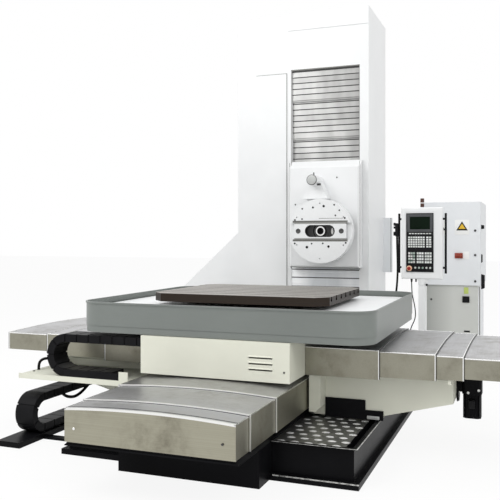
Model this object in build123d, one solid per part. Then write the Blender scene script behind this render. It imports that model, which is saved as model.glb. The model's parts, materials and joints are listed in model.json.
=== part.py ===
from build123d import *
import math
import os

# Horizontal boring and milling machine with a facing head, in millimetres.
# X runs to the right of the operator, Y from the operator to the column, Z up.
# The origin is on the floor, under the middle of the rotary table.

# Bed and its guideways
bed_half_width = 480.0
bed_front_y = -1340.0
bed_rear_y = 2040.0
bed_base_height = 240.0
bed_way_z = 440.0
bed_way_centre_x = 340.0
bed_way_half_width = 70.0
bed_neck_half_width = 430.0
bed_neck_slope = 40.0
pad_reach = 60.0
pad_wing_thickness = 20.0
bracket_thickness = 26.0
bracket_setback = 12.0
bracket_flare = 16.0
bracket_groove = 5.0
seat_gap = 0.3

# Telescopic covers of bent stainless sheet
sheet = 3.0
cover_step = 8.0
cover_gap = cover_step - sheet
wiper_depth = 14.0
lip_width = 9.0
lip_proud = 2.0
z_cover_half_width = 532.0
z_cover_low_z = 313.0
z_cover_eave_z = 506.0
z_cover_crown = 21.0
front_cover_edges = [-1842.0, -1645.5, -1224.0]
front_cover_lengths = [800.0, 820.0, 794.0]
rear_cover_edges = [1200.0, 1600.0, 1940.0]
rear_cover_lengths = [770.0, 750.0, 745.0]
x_cover_front_y = -600.0
x_cover_rear_y = 630.0
x_cover_eave_z = 745.0
x_cover_crown = 16.0
x_cover_low_z = [552.0, 568.0, 578.0, 589.0]
x_cover_edges = [1052.0, 1415.0, 1588.0, 1962.0]
x_cover_lengths = [517.0, 630.0, 450.0, 550.0]

# Saddle
saddle_top_z = 547.0
saddle_front_y = -430.0
saddle_rear_y = 430.0
saddle_core_half_width = 560.0
wing_end_x = 1505.0
wing_tip_low_z = 393.0
wing_knee_x = 1050.0
wing_knee_z = 276.0
wing_root_low_z = 262.0
skirt_out_x = 640.0
skirt_front_y = -570.0
skirt_low_z = 295.0
skirt_foot_cut = 34.0
saddle_bevel = 12.0
saddle_relief = 30.0
apron_gap = 20.0
x_way_top_z = 640.0
x_way_centre_y = 300.0
x_way_half_width = 60.0
bulkhead_thickness = 20.0

# Cross slide, box in front of it, tray and table
cross_half_width = 535.0
cross_apron = 20.0
cross_apron_rise = 8.0
cross_front_y = -605.0
cross_low_z = 664.0
cross_top_z = 815.0
front_box_half_width = 541.0
front_box_front_y = -945.0
front_box_low_z = 552.0
front_box_top_z = 812.0
front_box_wall = 4.0
louvre_x_span = (259.0, 424.0)
louvre_heights = [707.0, 668.0, 629.0]
louvre_opening = 11.0
chain_door_margin = 8.0
chain_door_low_z = 640.0
tray_half_width = 1070.0
tray_front_y = -930.0
tray_rear_y = 860.0
tray_top_z = 1030.0
tray_corner_r = 170.0
tray_wall = 8.0
tray_fold_z = 862.0
tray_fold_step = 4.0
tray_rim_height = 12.0
tray_rim_proud = 5.0
pedestal_half = 440.0
deck_top_z = 985.0
deck_thickness = 40.0
deck_margin = 26.0
table_length = 1360.0
table_width = 1120.0
table_low_z = 1014.0
table_top_z = 1075.5
table_chamfer = 90.0
table_hub_r = 320.0
table_spigot_r = 150.0
table_spigot_depth = 60.0
running_gap = 0.05
slot_count = 7
slot_pitch = 140.0
slot_width = 22.0
slot_depth = 36.0
slot_foot_width = 37.0
slot_foot_height = 16.0

# Chip troughs beside the bed
trough_outer_x = 1000.0
trough_front_y = -1120.0
trough_rear_y = 1180.0
trough_top_z = 236.0
trough_wall = 8.0
trough_lip = 26.0
trough_lip_thickness = 5.0
flange_rear_reach = 20.0
flange_outer_x = 1038.0
flange_front_y = -1164.0
flange_thickness = 37.0
tread_outer_x = 938.0
tread_top_z = 226.0
tread_thickness = 6.0
splash_thickness = 12.0
splash_top_z = 375.0
splash_split_x = 922.0
splash_low_top_z = 307.0
splash_outer_x = 1046.0
splash_low_z = 243.0

# Drag chains and what carries them
x_chain_front_y = -930.0
x_chain_rear_y = -760.0
x_chain_left_x = -1330.0
x_chain_top_end_x = -285.0
x_chain_low_end_x = -785.0
x_chain_link = 58.0
x_chain_height = 312.0
x_chain_pitch = 95.0
link_groove = 9.0
link_groove_depth = 6.0
shelf_left_x = -1567.0
apron_left_x = -715.0
apron_right_x = -642.0
shelf_front_y = -950.0
shelf_low_z = 447.0
shelf_top_z = 477.0
shelf_plate = 9.0
shelf_lip_z = 485.0
shelf_lip_thickness = 6.0
shelf_flange = 14.0
shelf_flange_drop = 20.0
hanger_front_y = 100.0
hanger_plate = 12.0
hanger_drop = 60.0
z_chain_left_x = -1567.0
z_chain_right_x = -1412.0
z_chain_front_y = -988.0
z_chain_link = 60.0
z_chain_height = 290.0
z_chain_pitch = 120.0
z_chain_top_end_y = 560.0
z_chain_low_end_y = 700.0
channel_left_x = -1580.0
channel_right_x = -1385.0
channel_front_y = -1170.0
channel_rear_y = 1000.0
channel_height = 40.0
channel_tie_width = 60.0
channel_tie_places = [-900.0, 0.0, 900.0]

# Column, headstock ways and slat curtain
column_left_x = -1041.0
column_right_x = 417.0
column_front_y = 2100.0
column_rear_y = 3030.0
column_foot_z = 300.0
column_base_reach = 20.0
column_shoulder_z = 3750.0
bay_left_x = -420.0
bay_right_x = 317.0
bay_depth = 500.0
bay_low_z = 590.0
fascia_height = 465.0
fascia_thickness = 14.0
curtain_top_z = column_shoulder_z - fascia_height
cap_left_height = 120.0
cap_right_height = 140.0
cap_split_x = -460.0
cap_proud = 10.0
cap_lap = 45.0
panel_left_x = -822.0
panel_right_x = -475.5
panel_low_z = 700.0
panel_below_shoulder = 502.5
panel_thickness = 6.0
brace_top_z = 1630.0
brace_reach = 813.0
brace_out_z = 890.0
brace_thickness = 40.0
brace_behind_front = 260.0
brace_foot_margin = 60.0
brace_foot_height = 30.0
base_right_reach = 80.0
base_rear_reach = 30.0
guard_width = 93.0
guard_behind_front = 780.0
guard_depth = 80.0
guard_low_z = 1090.0
guard_top_z = 1705.0
column_way_half_width = 55.0
column_way_height = 60.0
column_way_inset = 90.0
column_way_end_gap = 10.0
slat_pitch = 61.5
slat_land = 8.0
slat_shortest = 0.5
leaf_arm_inset = 60.0
leaf_arm_low = 40.0
leaf_arm_top = 120.0
slat_sheet = 5.0
slat_bump = 4.0
leaf_step = 16.0
leaf_first_y = 2107.0
upper_leaf_count = 3
leaf_below_shoulder = 308.0
leaf_lap = 100.0
lower_leaf_rises = [160.0, 110.0, 30.0]
lower_leaf_drops = [2.0, 23.0, 53.0]

# Headstock and facing head
head_left_x = -400.0
head_right_x = 351.0
head_front_y = 1950.0
head_low_z = 1173.0
head_top_z = 2227.5
spindle_z = 1550.0
head_to_column = 5.0
head_chamfer = 18.0
tongue_left_gap = 30.0
tongue_right_gap = 10.0
tongue_step = 200.0
strip_height = 62.0
strip_setback = 60.0
strip_depth = 30.0
head_bore_r = 150.0
head_bore_depth = 130.0
hub_end_gap = 1.0
sleeve_end_gap = 10.0
sleeve_behind_slide = 12.0
spindle_end_recess = 5.0
disc_r = 325.0
disc_front_y = 1717.5
disc_thickness = 120.0
disc_neck_r = 240.0
disc_to_head = 6.0
disc_core_r = 82.0
disc_hole_count = 6
disc_hole_r = 7.0
disc_hole_depth = 30.0
disc_hole_pcd = 560.0
facing_half_length = 268.0
facing_height = 168.0
facing_depth = 48.0
facing_gap = 0.3
facing_foot_reach = 20.0
facing_foot_thickness = 16.0
facing_proud = 4.0
facing_slot_length = 310.0
facing_slot_height = 121.0
sleeve_r = 76.0
sleeve_bore_r = 55.05
spindle_r = 55.0
spindle_nose_y = 1738.0
spindle_rear_y = 2500.0
spindle_bore_r = 35.0
spindle_bore_length = 110.0
nose_r = 55.0
nose_x = -75.0
nose_z = 2065.0
nose_front_y = 1683.0
nose_fairing_low_z = 1880.0
nose_fairing_front_y = 1800.0
nose_fairing_lap = 20.0
fairing_top_half = 40.0
fairing_low_half = 130.0

# Pendant, cabinet, ducts and the X motor
post_x = 1000.0
post_y = 1812.0
post_half = 33.0
post_top_z = 1022.0
post_foot_half = 150.0
post_foot_height = 20.0
knuckle_r = 38.0
pendant_width = 390.0
pendant_low_z = 1085.0
pendant_top_z = 1775.0
pendant_depth = 84.0
pendant_chamfer = 8.0
pendant_rim = 42.0
pendant_recess_depth = 3.0
lamp_r = 16.0
lamp_height = 90.0
handle_bar_r = 11.0
handle_reach = 26.0
handle_length = 580.0
handle_foot_inset = 110.0
handle_foot_half = 10.0
duct_height = 40.0
duct_width = 130.0
duct_before_rear = 300.0
cabinet_left_x = 864.0
cabinet_right_x = 1473.0
cabinet_front_y = 2925.0
cabinet_depth = 1000.0
cabinet_top_z = 1875.0
cabinet_split_z = 956.0
cabinet_proud = 28.0
cabinet_wall = 20.0
cabinet_foot_height = 60.0
door_thickness = 24.0
door_side_gap = 2.0
door_end_gap = 4.0
motor_y = -150.0
motor_x = 1606.0
motor_size = 130.0
motor_step = 6.0
motor_flange_r = 70.0
motor_flange_thickness = 14.0
motor_neck_half = 40.0
motor_gear_below = 50.0
motor_gear_above = 60.0
motor_gear_chamfer = 18.0
motor_length = 165.0
motor_body_chamfer = 20.0


# Solid between two limits on each axis.
def block(x_span, y_span, z_span):
    (x0, x1), (y0, y1), (z0, z1) = x_span, y_span, z_span
    return Pos((x0 + x1) / 2, (y0 + y1) / 2, (z0 + z1) / 2) * Box(x1 - x0, y1 - y0, z1 - z0)


# Prisms whose outline is given in the plane across their length.
def prism_along_x(points, x0, x1):
    face = Face(Wire.make_polygon([(x0, y, z) for y, z in points]))
    return extrude(face, amount=x1 - x0, dir=(1, 0, 0))


def prism_along_y(points, y0, y1):
    face = Face(Wire.make_polygon([(x, y0, z) for x, z in points]))
    return extrude(face, amount=y1 - y0, dir=(0, 1, 0))


def prism_along_z(points, z0, z1):
    face = Face(Wire.make_polygon([(x, y, z0) for x, y in points]))
    return extrude(face, amount=z1 - z0, dir=(0, 0, 1))


# Round bar along Y, on the spindle axis unless another place is given.
def bar_along_y(radius, y0, y1, x=0.0, z=spindle_z):
    return Pos(x, (y0 + y1) / 2, z) * Rot(90, 0, 0) * Cylinder(radius, y1 - y0)


# Upright bar, on the pendant's own axis unless another place is given.
def upright(radius, z0, z1, x=post_x, y=post_y):
    return Pos(x, y, (z0 + z1) / 2) * Cylinder(radius, z1 - z0)


def mirrored_outline(right_half):
    return right_half + [(-x, z) for x, z in reversed(right_half)]


def mirror_x(shape):
    return mirror(shape, about=Plane.YZ)


# Cross-section of a way cover: straight skirts under a crowned top.
def hood_face(half_width, low_z, eave_z, crown, y):
    left_low = (-half_width, y, low_z)
    left_eave = (-half_width, y, eave_z)
    crest = (0, y, eave_z + crown)
    right_eave = (half_width, y, eave_z)
    right_low = (half_width, y, low_z)
    edges = [
        Edge.make_line(left_low, left_eave),
        Edge.make_three_point_arc(left_eave, crest, right_eave),
        Edge.make_line(right_eave, right_low),
        Edge.make_line(right_low, left_low),
    ]
    return Face(Wire(edges))


def hood_solid(half_width, low_z, eave_z, crown, y0, y1):
    return extrude(hood_face(half_width, low_z, eave_z, crown, y0), amount=y1 - y0, dir=(0, 1, 0))


def hood_shell(half_width, low_z, eave_z, crown, thickness, y0, y1):
    outer = hood_solid(half_width, low_z, eave_z, crown, y0, y1)
    inner = hood_solid(half_width - thickness, low_z - thickness, eave_z - thickness, crown, y0, y1)
    return outer - inner


# One telescopic cover section. The end that leads over the next smaller section has a
# folded lip outside and, inside, a wiper that reaches that section but for the seat gap.
# The smallest section has a closed end in their place, and a lip round it.
def cover_section(half_width, low_z, eave_z, crown, y0, y1, leads_at, wiper=True, closed=False):
    section = hood_shell(half_width, low_z, eave_z, crown, sheet, y0, y1)
    if wiper:
        start = y0 if leads_at == "low" else y1 - wiper_depth
        section += hood_shell(half_width - sheet, low_z, eave_z - sheet, crown,
                              cover_gap - seat_gap, start, start + wiper_depth)
    if closed:
        start = y0 if leads_at == "low" else y1 - sheet
        section += hood_solid(half_width, low_z, eave_z, crown, start, start + sheet)
    if wiper or closed:
        start = y0 if leads_at == "low" else y1 - lip_width
        section += hood_shell(half_width + lip_proud, low_z, eave_z + lip_proud, crown,
                              sheet + lip_proud, start, start + lip_width)
    return section


def make_bed():
    way_in = bed_way_centre_x - bed_way_half_width
    way_out = bed_way_centre_x + bed_way_half_width
    right_half = [
        (bed_half_width, 0),
        (bed_half_width, bed_base_height),
        (bed_neck_half_width, bed_base_height + bed_neck_slope),
        (bed_neck_half_width, bed_way_z - bed_neck_slope),
        (way_out, bed_way_z),
        (way_in, bed_way_z),
        (way_in, bed_way_z - bed_neck_slope),
    ]
    bed = prism_along_y(mirrored_outline(right_half), bed_front_y, bed_rear_y)
    pad_front_y = rear_cover_edges[2] - pad_reach
    pad = block((-bed_half_width, bed_half_width), (pad_front_y, bed_rear_y),
                (bed_base_height, z_cover_low_z))
    pad_wing = block((-z_cover_half_width, z_cover_half_width), (pad_front_y, bed_rear_y),
                     (z_cover_low_z - pad_wing_thickness, z_cover_low_z))
    return bed + pad + pad_wing


# Shelf plate under the front cover, with slanted ends and a groove along its front edge.
def make_bed_front_bracket():
    low_z = z_cover_low_z - bracket_thickness
    front_y = front_cover_edges[0] + bracket_setback
    right_half = [(z_cover_half_width + bracket_flare, low_z),
                  (z_cover_half_width - bracket_setback, z_cover_low_z)]
    plate = prism_along_y(mirrored_outline(right_half), front_y, bed_front_y)
    mid_z = (low_z + z_cover_low_z) / 2
    reach = z_cover_half_width + bracket_flare
    return plate - block((-reach, reach), (front_y, front_y + bracket_groove),
                         (mid_z - bracket_groove / 2, mid_z + bracket_groove / 2))


def make_front_covers():
    parts = {}
    for index, (edge, length) in enumerate(zip(front_cover_edges, front_cover_lengths)):
        grow = index * cover_step
        parts[f"z_cover_{index + 1}"] = cover_section(
            z_cover_half_width + grow, z_cover_low_z, z_cover_eave_z + grow, z_cover_crown,
            edge, edge + length, "low", wiper=index > 0, closed=index == 0)
    return parts


# The rear set mirrors the front one: the section on the saddle is the largest.
def make_rear_covers():
    parts = {}
    for index, (edge, length) in enumerate(zip(rear_cover_edges, rear_cover_lengths)):
        grow = (2 - index) * cover_step
        parts[f"rear_cover_{index + 1}"] = cover_section(
            z_cover_half_width + grow, z_cover_low_z, z_cover_eave_z + grow, z_cover_crown,
            edge - length, edge, "high", wiper=index < 2)
    return parts


# Across covers, built along Y and turned so that they run along X to the right.
def make_x_covers():
    centre_y = (x_cover_front_y + x_cover_rear_y) / 2
    full_half = (x_cover_rear_y - x_cover_front_y) / 2
    turn = Pos(0, centre_y, 0) * Rot(0, 0, -90)
    parts = {}
    for index, (edge, length) in enumerate(zip(x_cover_edges, x_cover_lengths)):
        shrink = index * cover_step
        last = index == len(x_cover_edges) - 1
        section = turn * cover_section(
            full_half - shrink, x_cover_low_z[index], x_cover_eave_z - shrink, x_cover_crown,
            edge - length, edge, "high", wiper=not last, closed=last)
        parts[f"x_cover_right_{index + 1}"] = section
        parts[f"x_cover_left_{index + 1}"] = mirror_x(section)
    return parts


def make_saddle():
    way_in = bed_way_centre_x - bed_way_half_width - saddle_bevel
    apron_in = bed_half_width + apron_gap
    right_half = [
        (way_in, bed_way_z + saddle_relief),
        (way_in, bed_way_z + seat_gap),
        (apron_in, bed_way_z + seat_gap),
        (apron_in, z_cover_low_z),
        (saddle_core_half_width, wing_root_low_z - saddle_bevel),
        (skirt_out_x, wing_root_low_z - saddle_bevel),
        (wing_knee_x, wing_knee_z),
        (wing_end_x, wing_tip_low_z),
        (wing_end_x, saddle_top_z),
    ]
    saddle = prism_along_y(mirrored_outline(right_half), saddle_front_y, saddle_rear_y)
    skirt_outline = [
        (saddle_core_half_width, saddle_top_z), (saddle_core_half_width, skirt_low_z),
        (skirt_out_x - skirt_foot_cut, skirt_low_z), (skirt_out_x, skirt_low_z + skirt_foot_cut),
        (skirt_out_x, saddle_top_z),
    ]
    skirt = prism_along_y(skirt_outline, skirt_front_y, saddle_front_y)
    saddle += skirt
    saddle += mirror_x(skirt)
    for side in (-1, 1):
        centre = side * x_way_centre_y
        saddle += block((-wing_end_x, wing_end_x),
                        (centre - x_way_half_width, centre + x_way_half_width),
                        (saddle_top_z, x_way_top_z))
    centre_y = (x_cover_front_y + x_cover_rear_y) / 2
    inner_half = (x_cover_rear_y - x_cover_front_y) / 2 - 3 * cover_step - sheet - seat_gap
    inner_eave = x_cover_eave_z - 3 * cover_step - sheet - seat_gap
    bulkhead = hood_solid(inner_half, saddle_top_z, inner_eave, x_cover_crown,
                          wing_end_x - bulkhead_thickness, wing_end_x)
    bulkhead = Pos(0, centre_y, 0) * Rot(0, 0, -90) * bulkhead
    saddle += bulkhead
    saddle += mirror_x(bulkhead)
    return saddle


def make_splash_plates():
    rear_y = saddle_front_y
    front_y = rear_y - splash_thickness
    tall = block((skirt_out_x, splash_split_x), (front_y, rear_y), (splash_low_z, splash_top_z))
    low = block((splash_split_x, splash_outer_x), (front_y, rear_y),
                (splash_low_z, splash_low_top_z))
    return tall + low


# Sheet shelf with a rear flange on the wing, a low front lip, and a raised apron at the
# right end of that lip, behind which the chain's low run slides.
def make_chain_shelf():
    lip = (shelf_front_y, shelf_front_y + shelf_lip_thickness)
    plate_low_z = shelf_top_z - shelf_plate
    shelf = block((shelf_left_x, apron_right_x), (shelf_front_y, saddle_front_y),
                  (plate_low_z, shelf_top_z))
    shelf += block((shelf_left_x, apron_right_x), lip, (shelf_low_z, shelf_lip_z))
    shelf += block((shelf_left_x, shelf_left_x + shelf_lip_thickness),
                   (shelf_front_y, saddle_front_y), (shelf_low_z, plate_low_z))
    shelf += block((apron_left_x, apron_right_x), lip, (shelf_lip_z, saddle_top_z))
    shelf += block((-wing_end_x, apron_right_x), (saddle_front_y - shelf_flange, saddle_front_y),
                   (shelf_top_z, saddle_top_z - shelf_flange_drop))
    return shelf


def make_chain_hanger():
    low_z = channel_height + seat_gap + z_chain_height + seat_gap
    plate = block((z_chain_left_x, z_chain_right_x), (hanger_front_y, saddle_rear_y),
                  (low_z, low_z + hanger_plate))
    web = block((-wing_end_x - hanger_plate, -wing_end_x), (hanger_front_y, saddle_rear_y),
                (low_z + hanger_plate, saddle_top_z - hanger_drop))
    return plate + web


# A drag chain is one bent band: a lower run, a half-round bend and an upper run.
def chain_band(bend_edge, low_end, top_end, low_z, height, link):
    outer_r = height / 2
    inner_r = outer_r - link
    centre = bend_edge + outer_r
    mid_z = low_z + outer_r
    bend = [(centre, low_z + height), (bend_edge, mid_z), (centre, low_z)]
    inner = [(centre, low_z + link), (centre - inner_r, mid_z), (centre, low_z + height - link)]
    edges = [
        Edge.make_line((low_end, 0, low_z + link), (low_end, 0, low_z)),
        Edge.make_line((low_end, 0, low_z), (centre, 0, low_z)),
        Edge.make_three_point_arc(*[(x, 0, z) for x, z in reversed(bend)]),
        Edge.make_line((centre, 0, low_z + height), (top_end, 0, low_z + height)),
        Edge.make_line((top_end, 0, low_z + height), (top_end, 0, low_z + height - link)),
        Edge.make_line((top_end, 0, low_z + height - link), (centre, 0, low_z + height - link)),
        Edge.make_three_point_arc(*[(x, 0, z) for x, z in reversed(inner)]),
        Edge.make_line((centre, 0, low_z + link), (low_end, 0, low_z + link)),
    ]
    return Face(Wire(edges))


# Where one link ends and the next begins: x and z on the band's middle line, and the turn
# of the joint there in degrees.
def link_joints(bend_edge, low_end, top_end, low_z, height, link, pitch):
    mid_r = (height - link) / 2
    centre_x = bend_edge + height / 2
    centre_z = low_z + height / 2
    joints = []
    for run_end, z in ((low_end, centre_z - mid_r), (top_end, centre_z + mid_r)):
        count = round((run_end - centre_x) / pitch)
        step = (run_end - centre_x) / count
        joints += [(centre_x + step * index, z, 0.0) for index in range(count)]
    bend_count = round(math.pi * mid_r / pitch)
    for index in range(1, bend_count):
        turn = 180.0 * index / bend_count
        angle = math.radians(turn)
        joints.append((centre_x - mid_r * math.sin(angle), centre_z - mid_r * math.cos(angle), turn))
    return joints


# The links are parted by a groove all round the band, which leaves their pivots as a core.
def link_chain(bend_edge, low_end, top_end, low_z, height, link, width, pitch):
    face = chain_band(bend_edge, low_end, top_end, low_z, height, link)
    chain = extrude(face, amount=width, dir=(0, 1, 0))
    across = 2 * link_groove_depth
    ring = Box(link_groove, width + across, link + across)
    ring -= Box(link_groove, width - across, link - across)
    cuts = [Pos(x, width / 2, z) * Rot(0, turn, 0) * ring
            for x, z, turn in link_joints(bend_edge, low_end, top_end, low_z, height, link, pitch)]
    return chain - cuts


def make_x_chain():
    chain = link_chain(x_chain_left_x, x_chain_low_end_x, x_chain_top_end_x,
                       shelf_top_z + seat_gap, x_chain_height, x_chain_link,
                       x_chain_rear_y - x_chain_front_y, x_chain_pitch)
    return Pos(0, x_chain_front_y, 0) * chain


def make_z_chain():
    chain = link_chain(z_chain_front_y, z_chain_low_end_y, z_chain_top_end_y,
                       channel_height + seat_gap, z_chain_height, z_chain_link,
                       z_chain_right_x - z_chain_left_x, z_chain_pitch)
    return Pos(z_chain_right_x, 0, 0) * Rot(0, 0, 90) * chain


def make_floor_channel():
    channel = block((channel_left_x, channel_right_x), (channel_front_y, channel_rear_y),
                    (0, channel_height))
    for y in channel_tie_places:
        channel += block((channel_right_x, -flange_outer_x), (y, y + channel_tie_width),
                         (0, flange_thickness / 2))
    return channel


# Right-hand trough with its foot flange; the left one is its mirror image.
def make_trough():
    y_span = (trough_front_y, trough_rear_y)
    inner = trough_wall
    trough = block((bed_half_width, flange_outer_x), (flange_front_y, trough_rear_y + flange_rear_reach),
                   (0, flange_thickness))
    lip_low_z = trough_top_z - trough_lip_thickness
    floor_top = flange_thickness
    trough += block((bed_half_width, bed_half_width + inner), y_span,
                    (floor_top, tread_top_z - tread_thickness))
    trough += block((trough_outer_x - inner, trough_outer_x), y_span, (floor_top, trough_top_z))
    trough += block((tread_outer_x - inner, tread_outer_x), y_span,
                    (floor_top, tread_top_z - tread_thickness))
    front = (trough_front_y, trough_front_y + inner)
    rear = (trough_rear_y - inner, trough_rear_y)
    for end in (front, rear):
        trough += block((bed_half_width, trough_outer_x), end, (floor_top, trough_top_z))
    trough += block((trough_outer_x, trough_outer_x + trough_lip), y_span, (lip_low_z, trough_top_z))
    trough += block((bed_half_width, trough_outer_x + trough_lip),
                    (trough_front_y - trough_lip, trough_front_y), (lip_low_z, trough_top_z))
    return trough


def make_tread_plate():
    return block((bed_half_width, tread_outer_x),
                 (trough_front_y + trough_wall, trough_rear_y - trough_wall),
                 (tread_top_z - tread_thickness, tread_top_z))


def make_cross_slide():
    slide = block((-cross_half_width, cross_half_width), (cross_front_y, x_cover_rear_y),
                  (cross_low_z, cross_top_z))
    for side in (-1, 1):
        centre = side * x_way_centre_y
        slide += block((-cross_half_width, cross_half_width),
                       (centre - x_way_half_width, centre + x_way_half_width),
                       (x_way_top_z + seat_gap, cross_low_z))
    for y_span in ((cross_front_y, cross_front_y + cross_apron),
                   (x_cover_rear_y - cross_apron, x_cover_rear_y)):
        slide += block((-cross_half_width, cross_half_width), y_span,
                       (front_box_low_z + cross_apron_rise, cross_low_z))
    return slide


def make_front_box():
    x_span = (-front_box_half_width, front_box_half_width)
    y_span = (front_box_front_y, cross_front_y)
    z_span = (front_box_low_z, front_box_top_z)
    wall = front_box_wall
    shell = block(x_span, y_span, z_span)
    shell -= block((x_span[0] + wall, x_span[1] - wall), (y_span[0] + wall, y_span[1] - wall),
                   (z_span[0] + wall, z_span[1] - wall))
    for z in louvre_heights:
        shell -= block(louvre_x_span, (y_span[0], y_span[0] + wall),
                       (z - louvre_opening / 2, z + louvre_opening / 2))
    run_top = shelf_top_z + seat_gap + x_chain_height
    shell -= block((x_span[0], x_span[0] + wall),
                   (x_chain_front_y - chain_door_margin, x_chain_rear_y + chain_door_margin),
                   (chain_door_low_z, run_top + chain_door_margin))
    return shell


def rounded_slab(half_x, y0, y1, z0, z1, radius):
    slab = block((-half_x, half_x), (y0, y1), (z0, z1))
    return fillet(slab.edges().filter_by(Axis.Z), radius)


# Slab with the tray's outline, grown by a margin that may be negative.
def tray_slab(margin, z0, z1):
    return rounded_slab(tray_half_width + margin, tray_front_y - margin, tray_rear_y + margin,
                        z0, z1, tray_corner_r + margin)


# The wall steps in under its fold line and has a rolled rim.
def make_tray():
    tray = tray_slab(-tray_fold_step, cross_top_z, tray_fold_z)
    tray += tray_slab(0, tray_fold_z, tray_top_z - tray_rim_height)
    tray += tray_slab(tray_rim_proud, tray_top_z - tray_rim_height, tray_top_z)
    return tray - tray_slab(-tray_wall, cross_top_z + tray_wall, tray_top_z)


def make_table_base():
    deck_low_z = deck_top_z - deck_thickness
    deck = tray_slab(-tray_wall - deck_margin, deck_low_z, deck_top_z)
    pedestal = block((-pedestal_half, pedestal_half), (-pedestal_half, pedestal_half),
                     (cross_top_z + tray_wall, deck_low_z))
    bore_low_z = deck_top_z - table_spigot_depth - seat_gap
    return deck + pedestal - upright(table_spigot_r + running_gap, bore_low_z, deck_top_z, 0, 0)


def make_table():
    half_x = table_length / 2
    half_y = table_width / 2
    cut = table_chamfer
    outline = [
        (-half_x + cut, -half_y), (half_x - cut, -half_y), (half_x, -half_y + cut),
        (half_x, half_y - cut), (half_x - cut, half_y), (-half_x + cut, half_y),
        (-half_x, half_y - cut), (-half_x, -half_y + cut),
    ]
    table = prism_along_z(outline, table_low_z, table_top_z)
    for index in range(slot_count):
        y = (index - (slot_count - 1) / 2) * slot_pitch
        table -= block((-half_x, half_x), (y - slot_width / 2, y + slot_width / 2),
                       (table_top_z - slot_depth, table_top_z))
        table -= block((-half_x, half_x), (y - slot_foot_width / 2, y + slot_foot_width / 2),
                       (table_top_z - slot_depth, table_top_z - slot_depth + slot_foot_height))
    hub_low_z = deck_top_z + seat_gap
    table += upright(table_hub_r, hub_low_z, table_low_z, 0, 0)
    table += upright(table_spigot_r, hub_low_z - table_spigot_depth, hub_low_z, 0, 0)
    return table


def make_column():
    outer = block((column_left_x, column_right_x), (column_front_y, column_rear_y),
                  (column_foot_z, column_shoulder_z))
    bay_rear_y = column_front_y + bay_depth
    outer -= block((bay_left_x, bay_right_x), (column_front_y, bay_rear_y),
                   (bay_low_z, curtain_top_z))
    outer -= block((bay_left_x, bay_right_x), (column_front_y + fascia_thickness, bay_rear_y),
                   (curtain_top_z, column_shoulder_z))
    way_top = column_shoulder_z - column_way_end_gap
    for x in (bay_left_x + column_way_inset, bay_right_x - column_way_inset):
        outer += block((x - column_way_half_width, x + column_way_half_width),
                       (bay_rear_y - column_way_height, bay_rear_y), (bay_low_z, way_top))
    return outer


def make_column_base():
    return block((column_left_x - column_base_reach, column_right_x + base_right_reach),
                 (bed_rear_y, column_rear_y + base_rear_reach), (0, column_foot_z))


def make_column_cap_left():
    return block((column_left_x, cap_split_x), (column_front_y, column_rear_y),
                 (column_shoulder_z, column_shoulder_z + cap_left_height))


def make_column_cap_right():
    top_z = column_shoulder_z + cap_right_height
    cap = block((cap_split_x, column_right_x), (column_front_y, column_rear_y),
                (column_shoulder_z, top_z))
    front = block((cap_split_x, column_right_x), (column_front_y - cap_proud, column_front_y),
                  (column_shoulder_z - cap_lap, top_z))
    return cap + front


def make_column_panel():
    return block((panel_left_x, panel_right_x), (column_front_y - panel_thickness, column_front_y),
                 (panel_low_z, column_shoulder_z - panel_below_shoulder))


def make_column_brace():
    base_left_x = column_left_x - column_base_reach
    out_x = column_left_x - brace_reach
    outline = [(base_left_x, 0), (base_left_x, column_foot_z), (column_left_x, column_foot_z),
               (column_left_x, brace_top_z), (out_x, brace_out_z), (out_x, 0)]
    front_y = column_front_y + brace_behind_front
    rear_y = front_y + brace_thickness
    panel = prism_along_y(outline, front_y, rear_y)
    foot = block((out_x, base_left_x), (front_y - brace_foot_margin, rear_y + brace_foot_margin),
                 (0, brace_foot_height))
    return panel + foot


def make_headstock():
    front_rear_y = column_front_y - head_to_column
    way_face_y = column_front_y + bay_depth - column_way_height
    front = block((head_left_x, head_right_x), (head_front_y, front_rear_y), (head_low_z, head_top_z))
    front = chamfer(front.faces().sort_by(Axis.Y)[0].edges(), head_chamfer)
    tongue = block((bay_left_x + tongue_left_gap, bay_right_x - tongue_right_gap),
                   (front_rear_y, way_face_y - seat_gap), (head_low_z + tongue_step, head_top_z))
    strip_top_z = head_top_z + strip_height
    strip = prism_along_x([(head_front_y + strip_setback, head_top_z), (front_rear_y, head_top_z),
                           (front_rear_y, strip_top_z), (front_rear_y - strip_depth, strip_top_z)],
                          head_left_x, head_right_x)
    head = front + tongue + strip
    bore_end_y = head_front_y + head_bore_depth
    head -= bar_along_y(head_bore_r + running_gap, head_front_y, bore_end_y)
    head -= bar_along_y(sleeve_r + running_gap, bore_end_y, spindle_rear_y + sleeve_end_gap)
    return head


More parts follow.
